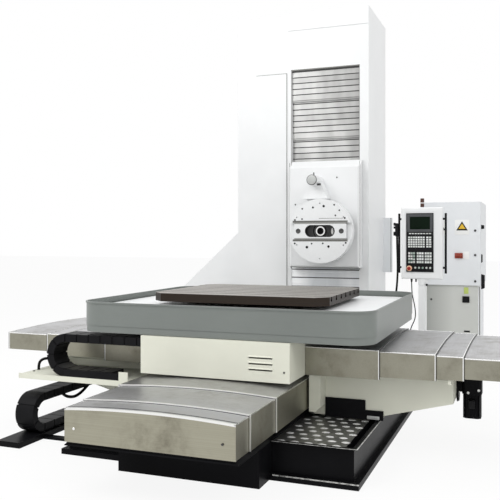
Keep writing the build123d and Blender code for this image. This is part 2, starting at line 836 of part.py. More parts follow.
def make_faceplate():
    rim_end_y = disc_front_y + disc_thickness
    neck_end_y = head_front_y - disc_to_head
    disc = bar_along_y(disc_r, disc_front_y, rim_end_y)
    disc += bar_along_y(disc_neck_r, rim_end_y, neck_end_y)
    disc += bar_along_y(head_bore_r, neck_end_y, head_front_y + head_bore_depth - hub_end_gap)
    groove_half = facing_height / 2 + facing_gap
    foot_half = facing_height / 2 + facing_foot_reach + facing_gap
    foot_front_y = disc_front_y + facing_depth - facing_foot_thickness - facing_gap
    groove_end_y = disc_front_y + facing_depth + facing_gap
    span = (-disc_r, disc_r)
    disc -= block(span, (disc_front_y, groove_end_y), (spindle_z - groove_half, spindle_z + groove_half))
    disc -= block(span, (foot_front_y, groove_end_y), (spindle_z - foot_half, spindle_z + foot_half))
    disc -= bar_along_y(disc_core_r, disc_front_y, head_front_y + head_bore_depth)
    for index in range(disc_hole_count):
        angle = math.radians((index + 0.5) * 360.0 / disc_hole_count)
        x = disc_hole_pcd / 2 * math.cos(angle)
        z = disc_hole_pcd / 2 * math.sin(angle)
        disc -= bar_along_y(disc_hole_r, disc_front_y, disc_front_y + disc_hole_depth, x, spindle_z + z)
    return disc


def make_facing_slide():
    rear_y = disc_front_y + facing_depth
    slide = block((-facing_half_length, facing_half_length), (disc_front_y - facing_proud, rear_y),
                  (spindle_z - facing_height / 2, spindle_z + facing_height / 2))
    foot_half = facing_height / 2 + facing_foot_reach
    slide += block((-facing_half_length, facing_half_length), (rear_y - facing_foot_thickness, rear_y),
                   (spindle_z - foot_half, spindle_z + foot_half))
    radius = facing_slot_height / 2
    reach = facing_slot_length / 2 - radius
    y_span = (disc_front_y - facing_proud, rear_y)
    slide -= block((-reach, reach), y_span, (spindle_z - radius, spindle_z + radius))
    for x in (-reach, reach):
        slide -= bar_along_y(radius, y_span[0], y_span[1], x)
    return slide


def make_spindle_sleeve():
    front_y = disc_front_y + facing_depth + sleeve_behind_slide
    sleeve = bar_along_y(sleeve_r, front_y, spindle_rear_y)
    return sleeve - bar_along_y(sleeve_bore_r, front_y, spindle_rear_y)


def make_spindle():
    spindle = bar_along_y(spindle_r, spindle_nose_y, spindle_rear_y - spindle_end_recess)
    return spindle - bar_along_y(spindle_bore_r, spindle_nose_y, spindle_nose_y + spindle_bore_length)


def make_nose_cylinder():
    barrel = bar_along_y(nose_r, nose_front_y, head_front_y, nose_x, nose_z)
    top_z = nose_z + nose_fairing_lap
    outline = [(nose_x - fairing_top_half, top_z), (nose_x + fairing_top_half, top_z),
               (nose_x + fairing_low_half, nose_fairing_low_z),
               (nose_x - fairing_low_half, nose_fairing_low_z)]
    fairing = prism_along_y(outline, nose_fairing_front_y, head_front_y)
    return barrel + fairing


# A leaf of the slat curtain: a sheet whose slats are shallow ridges across it.
def make_leaf(z0, z1, rear_y):
    front_y = rear_y - slat_sheet
    ridge_count = int((z1 - z0) // slat_pitch)
    outline = [(rear_y, z0), (rear_y, z1), (front_y, z1)]
    for index in range(ridge_count):
        top = z1 - index * slat_pitch
        outline.append((front_y - slat_bump, top - slat_pitch + slat_land))
        outline.append((front_y, top - slat_pitch))
    if outline[-1][1] > z0 + slat_shortest:
        outline.append((front_y, z0))
    return prism_along_x(outline, bay_left_x + seat_gap, bay_right_x - seat_gap)


# The upper leaves share the height from the headstock to the shoulder and lap behind each
# other. The lower ones hang from the headstock or stand in the bay, one behind the other.
def make_leaves():
    parts = {}
    first_rear_y = leaf_first_y + slat_sheet + slat_bump
    share = (column_shoulder_z - leaf_below_shoulder - head_top_z) / upper_leaf_count
    for index in range(upper_leaf_count):
        low_z = head_top_z + index * share
        lap = leaf_lap if index > 0 else 0.0
        rear_y = first_rear_y + (upper_leaf_count - index) * leaf_step
        parts[f"upper_leaf_{index + 1}"] = make_leaf(low_z - lap, low_z + share, rear_y)
    for index, (rise, drop) in enumerate(zip(lower_leaf_rises, lower_leaf_drops)):
        rear_y = first_rear_y + index * leaf_step
        z1 = head_low_z - drop
        leaf = make_leaf(bay_low_z + rise, z1, rear_y)
        if index == 0:
            arm = (bay_left_x + leaf_arm_inset, bay_right_x - leaf_arm_inset)
            arm_top_z = head_low_z + leaf_arm_top
            leaf += block(arm, (rear_y - slat_sheet, rear_y), (z1, arm_top_z))
            leaf += block(arm, (column_front_y - head_to_column, rear_y - slat_sheet),
                          (head_low_z + leaf_arm_low, arm_top_z))
        parts[f"lower_leaf_{index + 1}"] = leaf
    return parts


def make_pendant_post():
    post = block((post_x - post_half, post_x + post_half), (post_y - post_half, post_y + post_half),
                 (0, post_top_z))
    foot = block((post_x - post_foot_half, post_x + post_foot_half),
                 (post_y - post_foot_half, post_y + post_foot_half), (0, post_foot_height))
    return post + foot


# The box stands on a knuckle that turns on the post. Its face plate lies in a shallow recess.
def make_pendant():
    half = pendant_width / 2
    front_y = post_y - pendant_depth / 2
    box = block((post_x - half, post_x + half), (front_y, post_y + pendant_depth / 2),
                (pendant_low_z, pendant_top_z))
    box = chamfer(box.faces().sort_by(Axis.Y)[0].edges(), pendant_chamfer)
    recess = half - pendant_rim
    box -= block((post_x - recess, post_x + recess), (front_y, front_y + pendant_recess_depth),
                 (pendant_low_z + pendant_rim, pendant_top_z - pendant_rim))
    knuckle = upright(knuckle_r, post_top_z + seat_gap, pendant_low_z)
    lamp = upright(lamp_r, pendant_top_z, pendant_top_z + lamp_height)
    return box + knuckle + lamp


def make_pendant_handles():
    shape = None
    mid_z = (pendant_low_z + pendant_top_z) / 2
    foot_reach = (pendant_top_z - pendant_low_z) / 2 - handle_foot_inset
    for side in (-1, 1):
        face_x = post_x + side * pendant_width / 2
        bar_x = face_x + side * handle_reach
        bar = upright(handle_bar_r, mid_z - handle_length / 2, mid_z + handle_length / 2, bar_x)
        shape = bar if shape is None else shape + bar
        for z in (mid_z - foot_reach, mid_z + foot_reach):
            shape += block(sorted((face_x, bar_x)), (post_y - handle_foot_half, post_y + handle_foot_half),
                           (z - handle_foot_half, z + handle_foot_half))
    return shape


# Flat floor duct from the column to the pendant post and on to the cabinet.
def make_floor_duct():
    half = duct_width / 2
    right_of_base = column_right_x + base_right_reach
    duct_y = column_rear_y - duct_before_rear
    run = block((right_of_base, post_x + half), (duct_y - half, duct_y + half), (0, duct_height))
    branch = block((post_x - half, post_x + half), (post_y + post_foot_half, duct_y - half),
                   (0, duct_height))
    tail = block((post_x - half, post_x + half), (duct_y + half, cabinet_front_y), (0, duct_height))
    return run + branch + tail


def make_cabinet():
    x_span = (cabinet_left_x, cabinet_right_x)
    rear_y = cabinet_front_y + cabinet_depth
    low = block((x_span[0] + cabinet_proud, x_span[1] - cabinet_proud),
                (cabinet_front_y + cabinet_proud, rear_y), (0, cabinet_split_z))
    upper = block(x_span, (cabinet_front_y + door_thickness, rear_y), (cabinet_split_z, cabinet_top_z))
    upper -= block((x_span[0] + cabinet_wall, x_span[1] - cabinet_wall),
                   (cabinet_front_y + door_thickness, rear_y - cabinet_wall),
                   (cabinet_split_z + cabinet_wall, cabinet_top_z - cabinet_wall))
    foot = block((x_span[0] + cabinet_proud, x_span[1] - cabinet_proud),
                 (cabinet_front_y, cabinet_front_y + cabinet_proud), (0, cabinet_foot_height))
    return low + upper + foot


def make_cabinet_door():
    return block((cabinet_left_x + door_side_gap, cabinet_right_x - door_side_gap),
                 (cabinet_front_y, cabinet_front_y + door_thickness - seat_gap),
                 (cabinet_split_z + door_end_gap, cabinet_top_z - door_end_gap))


# Gearbox on a round flange at the wing's end, with the motor hanging under it.
def make_x_motor():
    half = motor_size / 2
    body_half = half - motor_step
    axis_z = (wing_tip_low_z + saddle_top_z) / 2
    flange_x = wing_end_x + motor_flange_thickness
    flange = Pos((wing_end_x + flange_x) / 2, motor_y, axis_z) * Rot(0, 90, 0) * Cylinder(
        motor_flange_r, motor_flange_thickness)
    neck = block((flange_x, motor_x - half), (motor_y - motor_neck_half, motor_y + motor_neck_half),
                 (axis_z - motor_neck_half, axis_z + motor_neck_half))
    gear_low_z = axis_z - motor_gear_below
    gear = block((motor_x - half, motor_x + half), (motor_y - half, motor_y + half),
                 (gear_low_z, axis_z + motor_gear_above))
    gear = chamfer(gear.edges().filter_by(Axis.Z), motor_gear_chamfer)
    body = block((motor_x - body_half, motor_x + body_half), (motor_y - body_half, motor_y + body_half),
                 (gear_low_z - motor_length, gear_low_z))
    body = chamfer(body.edges().filter_by(Axis.Z), motor_body_chamfer)
    return flange + neck + gear + body


def make_rear_guard():
    front_y = column_front_y + guard_behind_front
    return block((column_right_x, column_right_x + guard_width), (front_y, front_y + guard_depth),
                 (guard_low_z, guard_top_z))


parts = {
    "bed": make_bed(),
    "bed_front_bracket": make_bed_front_bracket(),
    "saddle": make_saddle(),
    "splash_plate_right": make_splash_plates(),
    "splash_plate_left": mirror_x(make_splash_plates()),
    "chain_shelf": make_chain_shelf(),
    "chain_hanger": make_chain_hanger(),
    "x_chain": make_x_chain(),
    "z_chain": make_z_chain(),
    "floor_channel": make_floor_channel(),
    "trough_right": make_trough(),
    "trough_left": mirror_x(make_trough()),
    "tread_plate_right": make_tread_plate(),
    "tread_plate_left": mirror_x(make_tread_plate()),
    "cross_slide": make_cross_slide(),
    "front_box": make_front_box(),
    "tray": make_tray(),
    "table_base": make_table_base(),
    "table": make_table(),
    "column_base": make_column_base(),
    "column": make_column(),
    "column_cap_left": make_column_cap_left(),
    "column_cap_right": make_column_cap_right(),
    "column_panel": make_column_panel(),
    "column_brace": make_column_brace(),
    "headstock": make_headstock(),
    "faceplate": make_faceplate(),
    "facing_slide": make_facing_slide(),
    "spindle_sleeve": make_spindle_sleeve(),
    "spindle": make_spindle(),
    "nose_cylinder": make_nose_cylinder(),
    "pendant_post": make_pendant_post(),
    "pendant": make_pendant(),
    "pendant_handles": make_pendant_handles(),
    "floor_duct": make_floor_duct(),
    "cabinet": make_cabinet(),
    "cabinet_door": make_cabinet_door(),
    "x_motor": make_x_motor(),
    "rear_guard": make_rear_guard(),
}
parts.update(make_front_covers())
parts.update(make_rear_covers())
parts.update(make_x_covers())
parts.update(make_leaves())

os.makedirs("parts", exist_ok=True)
for name, shape in parts.items():
    export_step(shape, f"parts/{name}.step")
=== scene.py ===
import json
import math

import bpy
from mathutils import Matrix, Vector

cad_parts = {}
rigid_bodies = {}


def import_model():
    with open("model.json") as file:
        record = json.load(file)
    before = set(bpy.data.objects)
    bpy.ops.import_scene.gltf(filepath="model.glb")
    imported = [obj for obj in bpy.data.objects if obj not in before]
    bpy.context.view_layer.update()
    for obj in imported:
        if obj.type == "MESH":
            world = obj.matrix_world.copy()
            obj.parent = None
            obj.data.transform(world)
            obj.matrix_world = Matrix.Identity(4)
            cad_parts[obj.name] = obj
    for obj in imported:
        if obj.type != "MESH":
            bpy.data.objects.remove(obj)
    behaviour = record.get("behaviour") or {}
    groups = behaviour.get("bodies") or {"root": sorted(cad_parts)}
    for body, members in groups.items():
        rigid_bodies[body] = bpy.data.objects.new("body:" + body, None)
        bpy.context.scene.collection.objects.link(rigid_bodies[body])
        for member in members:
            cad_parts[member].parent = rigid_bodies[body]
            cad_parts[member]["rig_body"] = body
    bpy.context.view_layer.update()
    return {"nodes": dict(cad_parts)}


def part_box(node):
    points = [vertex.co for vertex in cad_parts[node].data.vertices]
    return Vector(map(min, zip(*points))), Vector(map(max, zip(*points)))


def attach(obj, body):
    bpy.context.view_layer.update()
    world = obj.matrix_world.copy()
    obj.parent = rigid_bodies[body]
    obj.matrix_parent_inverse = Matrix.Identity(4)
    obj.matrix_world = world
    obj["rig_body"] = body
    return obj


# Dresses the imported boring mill: finishes, control panel, fittings, screws, treads, folds and cables.
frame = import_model()
print("frame loaded:", len(frame["nodes"]), "nodes")


# camera, world and lamps
view = {
    "place": (1.98, -5.40, 1.50),
    "turn": 21.0,              # degrees left of straight ahead
    "focalPixels": 731.0,
    "imagePixels": 500.0,
    "horizonPixel": 236.0,
    "sensor": 36.0,
    "farthest": 200.0,
}
studio = {
    "worldLight": 0.69,        # what the room gives to everything but the background
    "white": (1.0, 1.0, 1.0, 1.0),
    "floorColour": (0.93, 0.93, 0.92, 1.0),
    "floorGlow": 0.90,
    "floorRoughness": 0.7,
    "floorSize": 80.0,
    "floorZ": -0.002,          # just under the machine's feet
    "lamps": [                 # place, aim, size, watts
        ((-3.5, -4.5, 6.5), (0.0, 0.0, 1.0), 5.0, 250.0),
        ((4.5, -3.5, 5.5), (0.0, 1.0, 1.0), 4.0, 110.0),
        ((0.0, 3.5, 8.0), (0.0, 1.5, 0.5), 5.0, 130.0),
    ],
}


def makeCamera():
    data = bpy.data.cameras.new("viewCamera")
    camera = bpy.data.objects.new("viewCamera", data)
    bpy.context.scene.collection.objects.link(camera)
    camera.location = view["place"]
    camera.rotation_euler = (math.radians(90.0), 0.0, math.radians(view["turn"]))
    data.sensor_width = view["sensor"]
    data.lens = view["sensor"] * view["focalPixels"] / view["imagePixels"]
    data.shift_y = (view["horizonPixel"] - view["imagePixels"] / 2) / view["imagePixels"]
    data.clip_end = view["farthest"]
    bpy.context.scene.camera = camera


def makeLamps():
    for index, (place, aim, size, watts) in enumerate(studio["lamps"]):
        data = bpy.data.lights.new(f"lamp{index}", "AREA")
        data.shape = "DISK"
        data.size = size
        data.energy = watts
        lamp = bpy.data.objects.new(f"lamp{index}", data)
        bpy.context.scene.collection.objects.link(lamp)
        lamp.location = place
        lamp.rotation_euler = (Vector(aim) - Vector(place)).to_track_quat("-Z", "Y").to_euler()


class Signal:                  # a socket that takes part in sums
    def __init__(self, owner, socket):
        self.owner = owner
        self.socket = socket

    def maths(self, operation, other, swapped=False):
        inputs = {1: self, 0: other} if swapped else {0: self, 1: other}
        return self.owner.node("ShaderNodeMath", {"operation": operation}, inputs)

    def __add__(self, other):
        return self.maths("ADD", other)

    def __radd__(self, other):
        return self.maths("ADD", other, True)

    def __sub__(self, other):
        return self.maths("SUBTRACT", other)

    def __rsub__(self, other):
        return self.maths("SUBTRACT", other, True)

    def __mul__(self, other):
        return self.maths("MULTIPLY", other)

    def __rmul__(self, other):
        return self.maths("MULTIPLY", other, True)

    def atLeast(self, other):
        return self.maths("MAXIMUM", other)

    def above(self, other):
        return self.maths("GREATER_THAN", other)

    def below(self, other):
        return self.maths("LESS_THAN", other)


class Nodes:                   # adds nodes to a material's tree or the world's
    def __init__(self, tree):
        self.tree = tree

    def plug(self, socket, value):
        if isinstance(value, Signal):
            self.tree.links.new(value.socket, socket)
        else:
            socket.default_value = value

    def node(self, kind, settings=None, sockets=None, output=0):
        node = self.tree.nodes.new(kind)
        for name, value in (settings or {}).items():
            setattr(node, name, value)
        for name, value in (sockets or {}).items():
            self.plug(node.inputs[name], value)
        return Signal(self, node.outputs[output])

    def rays(self, *kinds):    # 1 for rays of any of the kinds
        found = [self.node("ShaderNodeLightPath", output=f"Is {kind} Ray") for kind in kinds]
        mask = found[0]
        for each in found[1:]:
            mask = mask.atLeast(each)
        return mask


class Finish(Nodes):           # one material, its coat of colour and the nodes in it
    def __init__(self, name, **sockets):
        self.material = bpy.data.materials.new(name)
        self.material.use_nodes = True
        super().__init__(self.material.node_tree)
        self.shader = self.tree.nodes["Principled BSDF"]
        self.point = self.node("ShaderNodeTexCoord", output="Object")
        for socket, value in sockets.items():
            self.set(socket, value)

    def set(self, socket, value):
        self.plug(self.shader.inputs[socket.replace("_", " ")], value)

    def coat(self, factor, first, second):
        self.colour = self.blend(factor, first, second)
        self.set("Base_Color", self.colour)

    def over(self, mask, colour):          # another colour where the mask is 1
        self.coat(mask, self.colour, colour)

    def stretched(self, scale):
        return self.node("ShaderNodeMapping", None, {"Vector": self.point, "Scale": scale})

    def noise(self, scale, detail=3.0, stretch=(1.0, 1.0, 1.0), roughness=0.55):
        sockets = {"Vector": self.stretched(stretch), "Scale": scale, "Detail": detail,
                   "Roughness": roughness}
        return self.node("ShaderNodeTexNoise", None, sockets)

    def band(self, value, low, high):      # 0 up to low, rising to 1 at high
        return self.node("ShaderNodeMapRange", {"clamp": True},
                         {"Value": value, "From Min": low, "From Max": high})

    def blend(self, factor, first, second):
        first, second = (colour + (1.0,) if isinstance(colour, tuple) else colour
                         for colour in (first, second))
        return self.node("ShaderNodeMix", {"data_type": "RGBA"},
                         {0: factor, 6: first, 7: second}, output=2)

    def along(self, axis):     # the place of the shaded point on one axis
        return self.node("ShaderNodeSeparateXYZ", None, {"Vector": self.point}, output=axis)

    def facing(self, axis):
        normal = self.node("ShaderNodeNewGeometry", output="True Normal")
        return self.node("ShaderNodeSeparateXYZ", None, {"Vector": normal}, output=axis)

    def zone(self, **spans):   # 1 inside the given spans of x, y and z, else 0
        mask = None
        for axis, (low, high) in spans.items():
            place = self.along(axis.upper())
            part = place.above(low) * place.below(high)
            mask = part if mask is None else mask * part
        return mask

    def height(self, value, strength, distance):
        bump = self.node("ShaderNodeBump", None,
                         {"Height": value, "Strength": strength, "Distance": distance})
        self.set("Normal", bump)


def tint(colour, amount):
    return tuple(min(1.0, c * amount) for c in colour)


# what each paint looks like: colour, roughness, how much it varies
paints = {
    "whitePaint": ((0.84, 0.85, 0.855), 0.34, 0.03),
    "creamPaint": ((0.735, 0.74, 0.635), 0.38, 0.06),
    "trayPaint": ((0.180, 0.198, 0.186), 0.34, 0.06),
    "cabinetPaint": ((0.78, 0.80, 0.82), 0.45, 0.03),
    "blackPaint": ((0.006, 0.006, 0.007), 0.36, 0.35),
}
blackSpecular = 0.05
grains = {                     # clouds vary the colour, and the fine noise is the bump
    "paint": {"clouds": (1.7, 4.0), "span": (0.3, 0.7), "fine": (260.0, 2.0), "spread": 0.16,
              "bump": (0.06, 0.0006)},
    "metal": {"clouds": (4.0, 3.0), "span": (0.3, 0.7), "fine": (60.0, 4.0), "spread": 0.2,
              "bump": (0.05, 0.0004)},
    "plastic": {"clouds": (6.0, 4.0), "span": (0.45, 0.75), "fine": (420.0, 2.0), "spread": 0.14,
                "bump": (0.08, 0.0004)},
}


def coated(name, family, colour, roughness, darker, paler, **sockets):
    grain = grains[family]
    finish = Finish(name, **sockets)
    clouds = finish.noise(*grain["clouds"])
    fine = finish.noise(*grain["fine"])
    finish.coat(finish.band(clouds, *grain["span"]), tint(colour, darker), tint(colour, paler))
    sheen = fine if family == "metal" else clouds
    finish.set("Roughness", roughness + (sheen - 0.5) * grain["spread"])
    finish.height(fine, *grain["bump"])
    return finish


def painted(paint, name=None):
    colour, roughness, variety = paints[paint]
    sockets = {"Specular_IOR_Level": blackSpecular} if paint == "blackPaint" else {}
    return coated(name or paint, "paint", colour, roughness, 1.0 - variety, 1.0 + variety, **sockets)


# painted shade inside the facing head: black on the slot's walls and on what lies behind it, the disc's
# groove; the slide's upper and lower edges are grey bands
facingDark = {
    "discGrooveShade": {"y": (1.745, 2.2), "x": (-0.27, 0.27), "z": (1.44, 1.66)},
    "slotWallShade": {"y": (1.7139, 1.77), "x": (-0.156, 0.156), "z": (1.4885, 1.6115)},
    "slideEdges": ((1.440, 1.479), (1.621, 1.660)),
    "edgeColour": (0.34, 0.34, 0.33), "colour": (0.012, 0.012, 0.012),
}


def darkenedPaint(name, zone, edges=()):
    finish = painted("whitePaint", name)
    for span in edges:
        finish.over(finish.zone(z=span), facingDark["edgeColour"])
    # black painted shade over the slot's walls and the groove behind the slide
    finish.over(finish.zone(**zone), facingDark["colour"])
    return finish.material


# chip trough: a painted highlight, bright as steel, along the outer edge of its lip and foot flange
troughHighlight = {
    "front": (-1.147, -1.139), "outside": (1.019, 1.027), "top": (0.2352, 0.2365),
    "flange": (0.5, 1.1), "flangeFront": (-1.166, -1.160), "flangeTop": (0.030, 0.0405),
    "colour": (0.62, 0.62, 0.60), "highlightBreaks": 40.0, "highlightBreakSpan": (0.25, 0.55),
}


def troughFinish():
    finish = painted("blackPaint", "troughPaint")
    front = finish.zone(y=troughHighlight["front"], z=troughHighlight["top"])
    right = finish.zone(x=troughHighlight["outside"], z=troughHighlight["top"])
    left = finish.zone(x=tuple(-x for x in reversed(troughHighlight["outside"])), z=troughHighlight["top"])
    flange = finish.zone(x=troughHighlight["flange"], y=troughHighlight["flangeFront"], z=troughHighlight["flangeTop"])
    # painted highlight along the lip's and flange's outer edges, broken up by noise
    highlit = front.atLeast(right).atLeast(left).atLeast(flange)
    highlightBreaks = finish.band(finish.noise(troughHighlight["highlightBreaks"], 4.0), *troughHighlight["highlightBreakSpan"])
    finish.over(highlit * highlightBreaks, troughHighlight["colour"])
    return finish.material


# stainless sheet: brushing, stains and handling marks, and painted light: the top paler than the skirts, a
# closed section's front face in a colour of its own, painted highlights on the lips; stripes are distances
# behind the leading edge
sheetMetal = {
    "skirtShadeColour": (0.335, 0.325, 0.265), "topLitColour": (0.52, 0.52, 0.53),
    "frontShadingColour": (0.40, 0.385, 0.305), "stainColour": (0.15, 0.135, 0.10),
    "lipHighlightColour": (0.88, 0.88, 0.86), "wiperColour": (0.01, 0.01, 0.01),
    "crown": 0.021, "brushAcross": 240.0, "clouds": 2.6, "spots": 9.0,
    "facingUp": (0.3, 0.9), "ahead": 0.7,
    "cloudSpan": (0.45, 0.66), "spotSpan": (0.38, 0.68), "stainDepth": 0.72,
    "streakSpan": (0.35, 0.65), "streakDepth": 0.16,
    "roughness": 0.30, "cloudRoughness": 0.16, "streakRoughness": 0.05, "bump": (0.05, 0.0005),
    "closedFoldHighlight": (-0.001, 0.020), "closedFoldHeight": 0.011, "closedJoint": (0.034, 0.048),
    "brightLipHighlight": (-0.001, 0.0092), "rimHeight": 0.0052, "rimWidth": 0.0048,
    "blackLipHighlight": (0.0042, 0.0105), "blackWiper": (-0.001, 0.0042),
}


# lead is the axis index and the sign of the section's leading end, and edge its place there. A bright or
# black section has a folded lip, with a painted highlight, and rubber at that end, and a closed one has a
# front plate with a painted highlight along its top fold.
def sheetFinish(name, kind, lead, edge, profile):
    sheet = sheetMetal
    axisIndex, sign = lead
    axis, acrossAxis = "XYZ"[axisIndex], "XYZ"[1 - axisIndex]
    finish = Finish(name)
    stretch = tuple(1.0 if each == acrossAxis else sheet["brushAcross"] for each in "XYZ")
    brush = finish.noise(1.0, 3.0, stretch, 0.7)
    clouds = finish.noise(sheet["clouds"], 5.0, roughness=0.62)
    spots = finish.noise(sheet["spots"], 5.0, roughness=0.7)
    facingUp = finish.band(finish.facing("Z"), *sheet["facingUp"])
    # painted light and shade: the top is paler than the skirts, by which way the face looks
    finish.coat(facingUp, sheet["skirtShadeColour"], sheet["topLitColour"])
    ahead = (finish.facing(axis) * float(sign)).above(sheet["ahead"])
    # painted shading: a closed section's front face gets a colour of its own
    if kind == "closed":
        finish.over(ahead, sheet["frontShadingColour"])
    stain = finish.band(clouds, *sheet["cloudSpan"]) * finish.band(spots, *sheet["spotSpan"])
    finish.over(stain * sheet["stainDepth"], sheet["stainColour"])
    streak = finish.band(brush, *sheet["streakSpan"])
    finish.over(streak * sheet["streakDepth"], sheet["stainColour"])

    def stripe(span):
        low, high = sorted(edge - sign * distance for distance in sheet[span])
        return finish.zone(**{axis.lower(): (low, high)})

    middle, half, eave = profile
    place = (finish.along(acrossAxis) - middle) * (1.0 / half)
    depth = finish.along("Z") - (eave + sheet["crown"]) + place * place * sheet["crown"]
    if kind == "closed":
        bright = (stripe("closedFoldHighlight") * facingUp).atLeast(ahead * depth.above(-sheet["closedFoldHeight"]))
        dark = stripe("closedJoint") * facingUp
    elif kind == "bright":         # the lip's end is bright too, above the rubber
        # on the leading face, the black below the rim is the rubber and also painted shadow on the section
        # below
        side = place.maths("ABSOLUTE", 0.0).above(1.0 - sheet["rimWidth"] / half)
        bright = stripe("brightLipHighlight")
        dark = ahead * (1.0 - depth.above(-sheet["rimHeight"]).atLeast(side))
    else:
        bright = stripe("blackLipHighlight")
        dark = stripe("blackWiper")
    # painted highlight on the lip, then black for rubber and joints
    finish.over(bright, sheet["lipHighlightColour"])
    finish.over(dark, sheet["wiperColour"])
    finish.set("Metallic", 1.0 - dark)
    finish.set("Roughness", sheet["roughness"] + clouds * sheet["cloudRoughness"]
               + streak * sheet["streakRoughness"])
    finish.height(brush, *sheet["bump"])
    return finish.material


metals = {                     # colour, roughness, how much it varies, metallic
    "brightSteel": ((0.86, 0.86, 0.85), 0.24),
    "zincBolt": ((0.62, 0.62, 0.60), 0.30),
    "treadMetal": ((0.36, 0.36, 0.35), 0.45),
    "treadCrown": ((0.96, 0.96, 0.94), 0.30, 0.08, 0.2),
    "castGrey": ((0.50, 0.51, 0.50), 0.40, 0.08, 0.3),
    "waySteel": ((0.17, 0.17, 0.16), 0.42),
    "darkSteel": ((0.09, 0.09, 0.09), 0.45),
}


def plainMetal(name, colour, roughness, spread=0.08, metallic=1.0):
    return coated(name, "metal", colour, roughness, 1.0 - spread, 1.0 + spread, Metallic=metallic)


# spindle nose: a bright ring between the dark bore, which is painted shade, and a dark rim
spindleRing = {"metal": ((0.80, 0.80, 0.79), 0.24, 0.03), "middle": 1.55, "inner": 0.035,
               "outer": 0.0475, "dark": (0.03, 0.03, 0.03)}


def spindleFinish():
    finish = plainMetal("spindleSteel", *spindleRing["metal"])
    across = finish.along("X")
    up = finish.along("Z") - spindleRing["middle"]
    distance = across * across + up * up
    ring = distance.above(spindleRing["inner"] ** 2) * distance.below(spindleRing["outer"] ** 2)
    # dark outside the bright ring; inside it this is painted shade in the bore
    finish.over(1.0 - ring, spindleRing["dark"])
    return finish.material


# slats: each catches the light a little differently, a painted sheen, with a dark line painted below it as
# the shade under its edge
slats = {
    "pitch": 0.0615, "joint": 0.83, "dark": (0.20, 0.20, 0.195), "light": (0.52, 0.52, 0.51),
    "toneSpan": (0.34, 0.66), "shadeLineColour": (0.075, 0.075, 0.075), "lastShadeLine": 7.8, "slatTone": 0.05,
    "lowDark": (0.62, 0.64, 0.66), "lowLight": (0.95, 0.96, 0.97), "lowToneSpan": (0.38, 0.6),
    "lowShadeLines": ((1.138, 1.150), (1.052, 1.063), (0.957, 0.969)),
    "metallic": 0.55, "sheen": 1.3, "sheenStretch": (1.6, 1.0, 0.5), "roughness": 0.36,
    "sheenSpread": 0.2, "grainStretch": (2.0, 2.0, 300.0), "bump": (0.04, 0.0004),
}


def slatFinish(name, top, low):
    finish = Finish(name, Metallic=slats["metallic"])
    sheen = finish.noise(slats["sheen"], 3.0, slats["sheenStretch"], 0.6)
    if low:
        joint = None
        for span in slats["lowShadeLines"]:
            part = finish.zone(z=span)
            joint = part if joint is None else joint + part
        tone = finish.band(sheen, *slats["lowToneSpan"])
        finish.coat(tone, slats["lowDark"], slats["lowLight"])
    else:
        steps = (top - finish.along("Z")) * (1.0 / slats["pitch"])
        joint = steps.maths("FRACT", 0.0).above(slats["joint"]) * steps.below(slats["lastShadeLine"])
        number = finish.node("ShaderNodeTexWhiteNoise", {"noise_dimensions": "1D"},
                             {"W": steps.maths("FLOOR", 0.0)})
        tone = finish.band(sheen + number * slats["slatTone"], *slats["toneSpan"])
        finish.coat(tone, slats["dark"], slats["light"])
    # a dark line painted below each slat as the shade under its edge; none below the last slat
    finish.over(joint, slats["shadeLineColour"])
    finish.set("Roughness", slats["roughness"] + (sheen - 0.5) * slats["sheenSpread"])
    finish.height(finish.noise(1.0, 3.0, slats["grainStretch"], 0.7), *slats["bump"])
    return finish.material


# lower front of the cabinet: painted shade, darker than its door, most of all beside the post
cabinetLowShade = {"z": (-0.1, 0.957), "y": (2.90, 2.96), "fade": (0.90, 1.18),
              "dark": (0.40, 0.41, 0.39), "light": (0.60, 0.61, 0.58)}


def cabinetFinish():
    finish = painted("cabinetPaint", "cabinetBody")
    side = finish.band(finish.along("X"), *cabinetLowShade["fade"])
    low = finish.blend(side, cabinetLowShade["dark"], cabinetLowShade["light"])
    # painted shade on the lower front, deepest beside the post
    finish.over(finish.zone(y=cabinetLowShade["y"], z=cabinetLowShade["z"]), low)
    return finish.material


# table: oiled top, darker side castings
tableIron = {"metal": ((0.33, 0.31, 0.285), 0.42), "top": 1.0745, "sideColour": (0.045, 0.036, 0.030),
             "oilColour": (0.20, 0.185, 0.165), "oil": 38.0, "oilSpan": (0.42, 0.6), "oilDepth": 0.25}


def tableFinish():
    finish = plainMetal("tableIron", *tableIron["metal"])
    oil = finish.band(finish.noise(tableIron["oil"], 3.0), *tableIron["oilSpan"]) * tableIron["oilDepth"]
    finish.over(oil, tableIron["oilColour"])
    finish.over(finish.along("Z").below(tableIron["top"]), tableIron["sideColour"])
    return finish.material


plastics = {                   # colour, roughness, how much paler it wears
    "chainNylon": ((0.009, 0.009, 0.010), 0.40),
    "blackPlastic": ((0.013, 0.013, 0.014), 0.36),
    "hoseRubber": ((0.012, 0.012, 0.012), 0.55),
    "bezelPlastic": ((0.055, 0.058, 0.062), 0.42),
    "screenGlass": ((0.003, 0.009, 0.004), 0.16),
    "redPlastic": ((0.30, 0.016, 0.010), 0.30),
    "ringPlastic": ((0.82, 0.52, 0.34), 0.40, 1.1),
    "lampPlastic": ((0.060, 0.018, 0.010), 0.22),
    "signWhite": ((0.86, 0.86, 0.85), 0.40, 1.0),
    "signYellow": ((0.72, 0.45, 0.03), 0.40, 1.15),
    "signGreen": ((0.50, 0.60, 0.16), 0.45, 1.2),
    "switchRed": ((0.26, 0.035, 0.015), 0.32),
}
plasticSpecular = {"darkest": 0.05, "dark": 0.07, "pale": 0.45}


def plastic(name, colour, roughness, wearTint=1.35):
    shade = "dark" if max(colour) < plasticSpecular["darkest"] else "pale"
    return coated(name, "plastic", colour, roughness, 1.0, wearTint,
                  Specular_IOR_Level=plasticSpecular[shade])


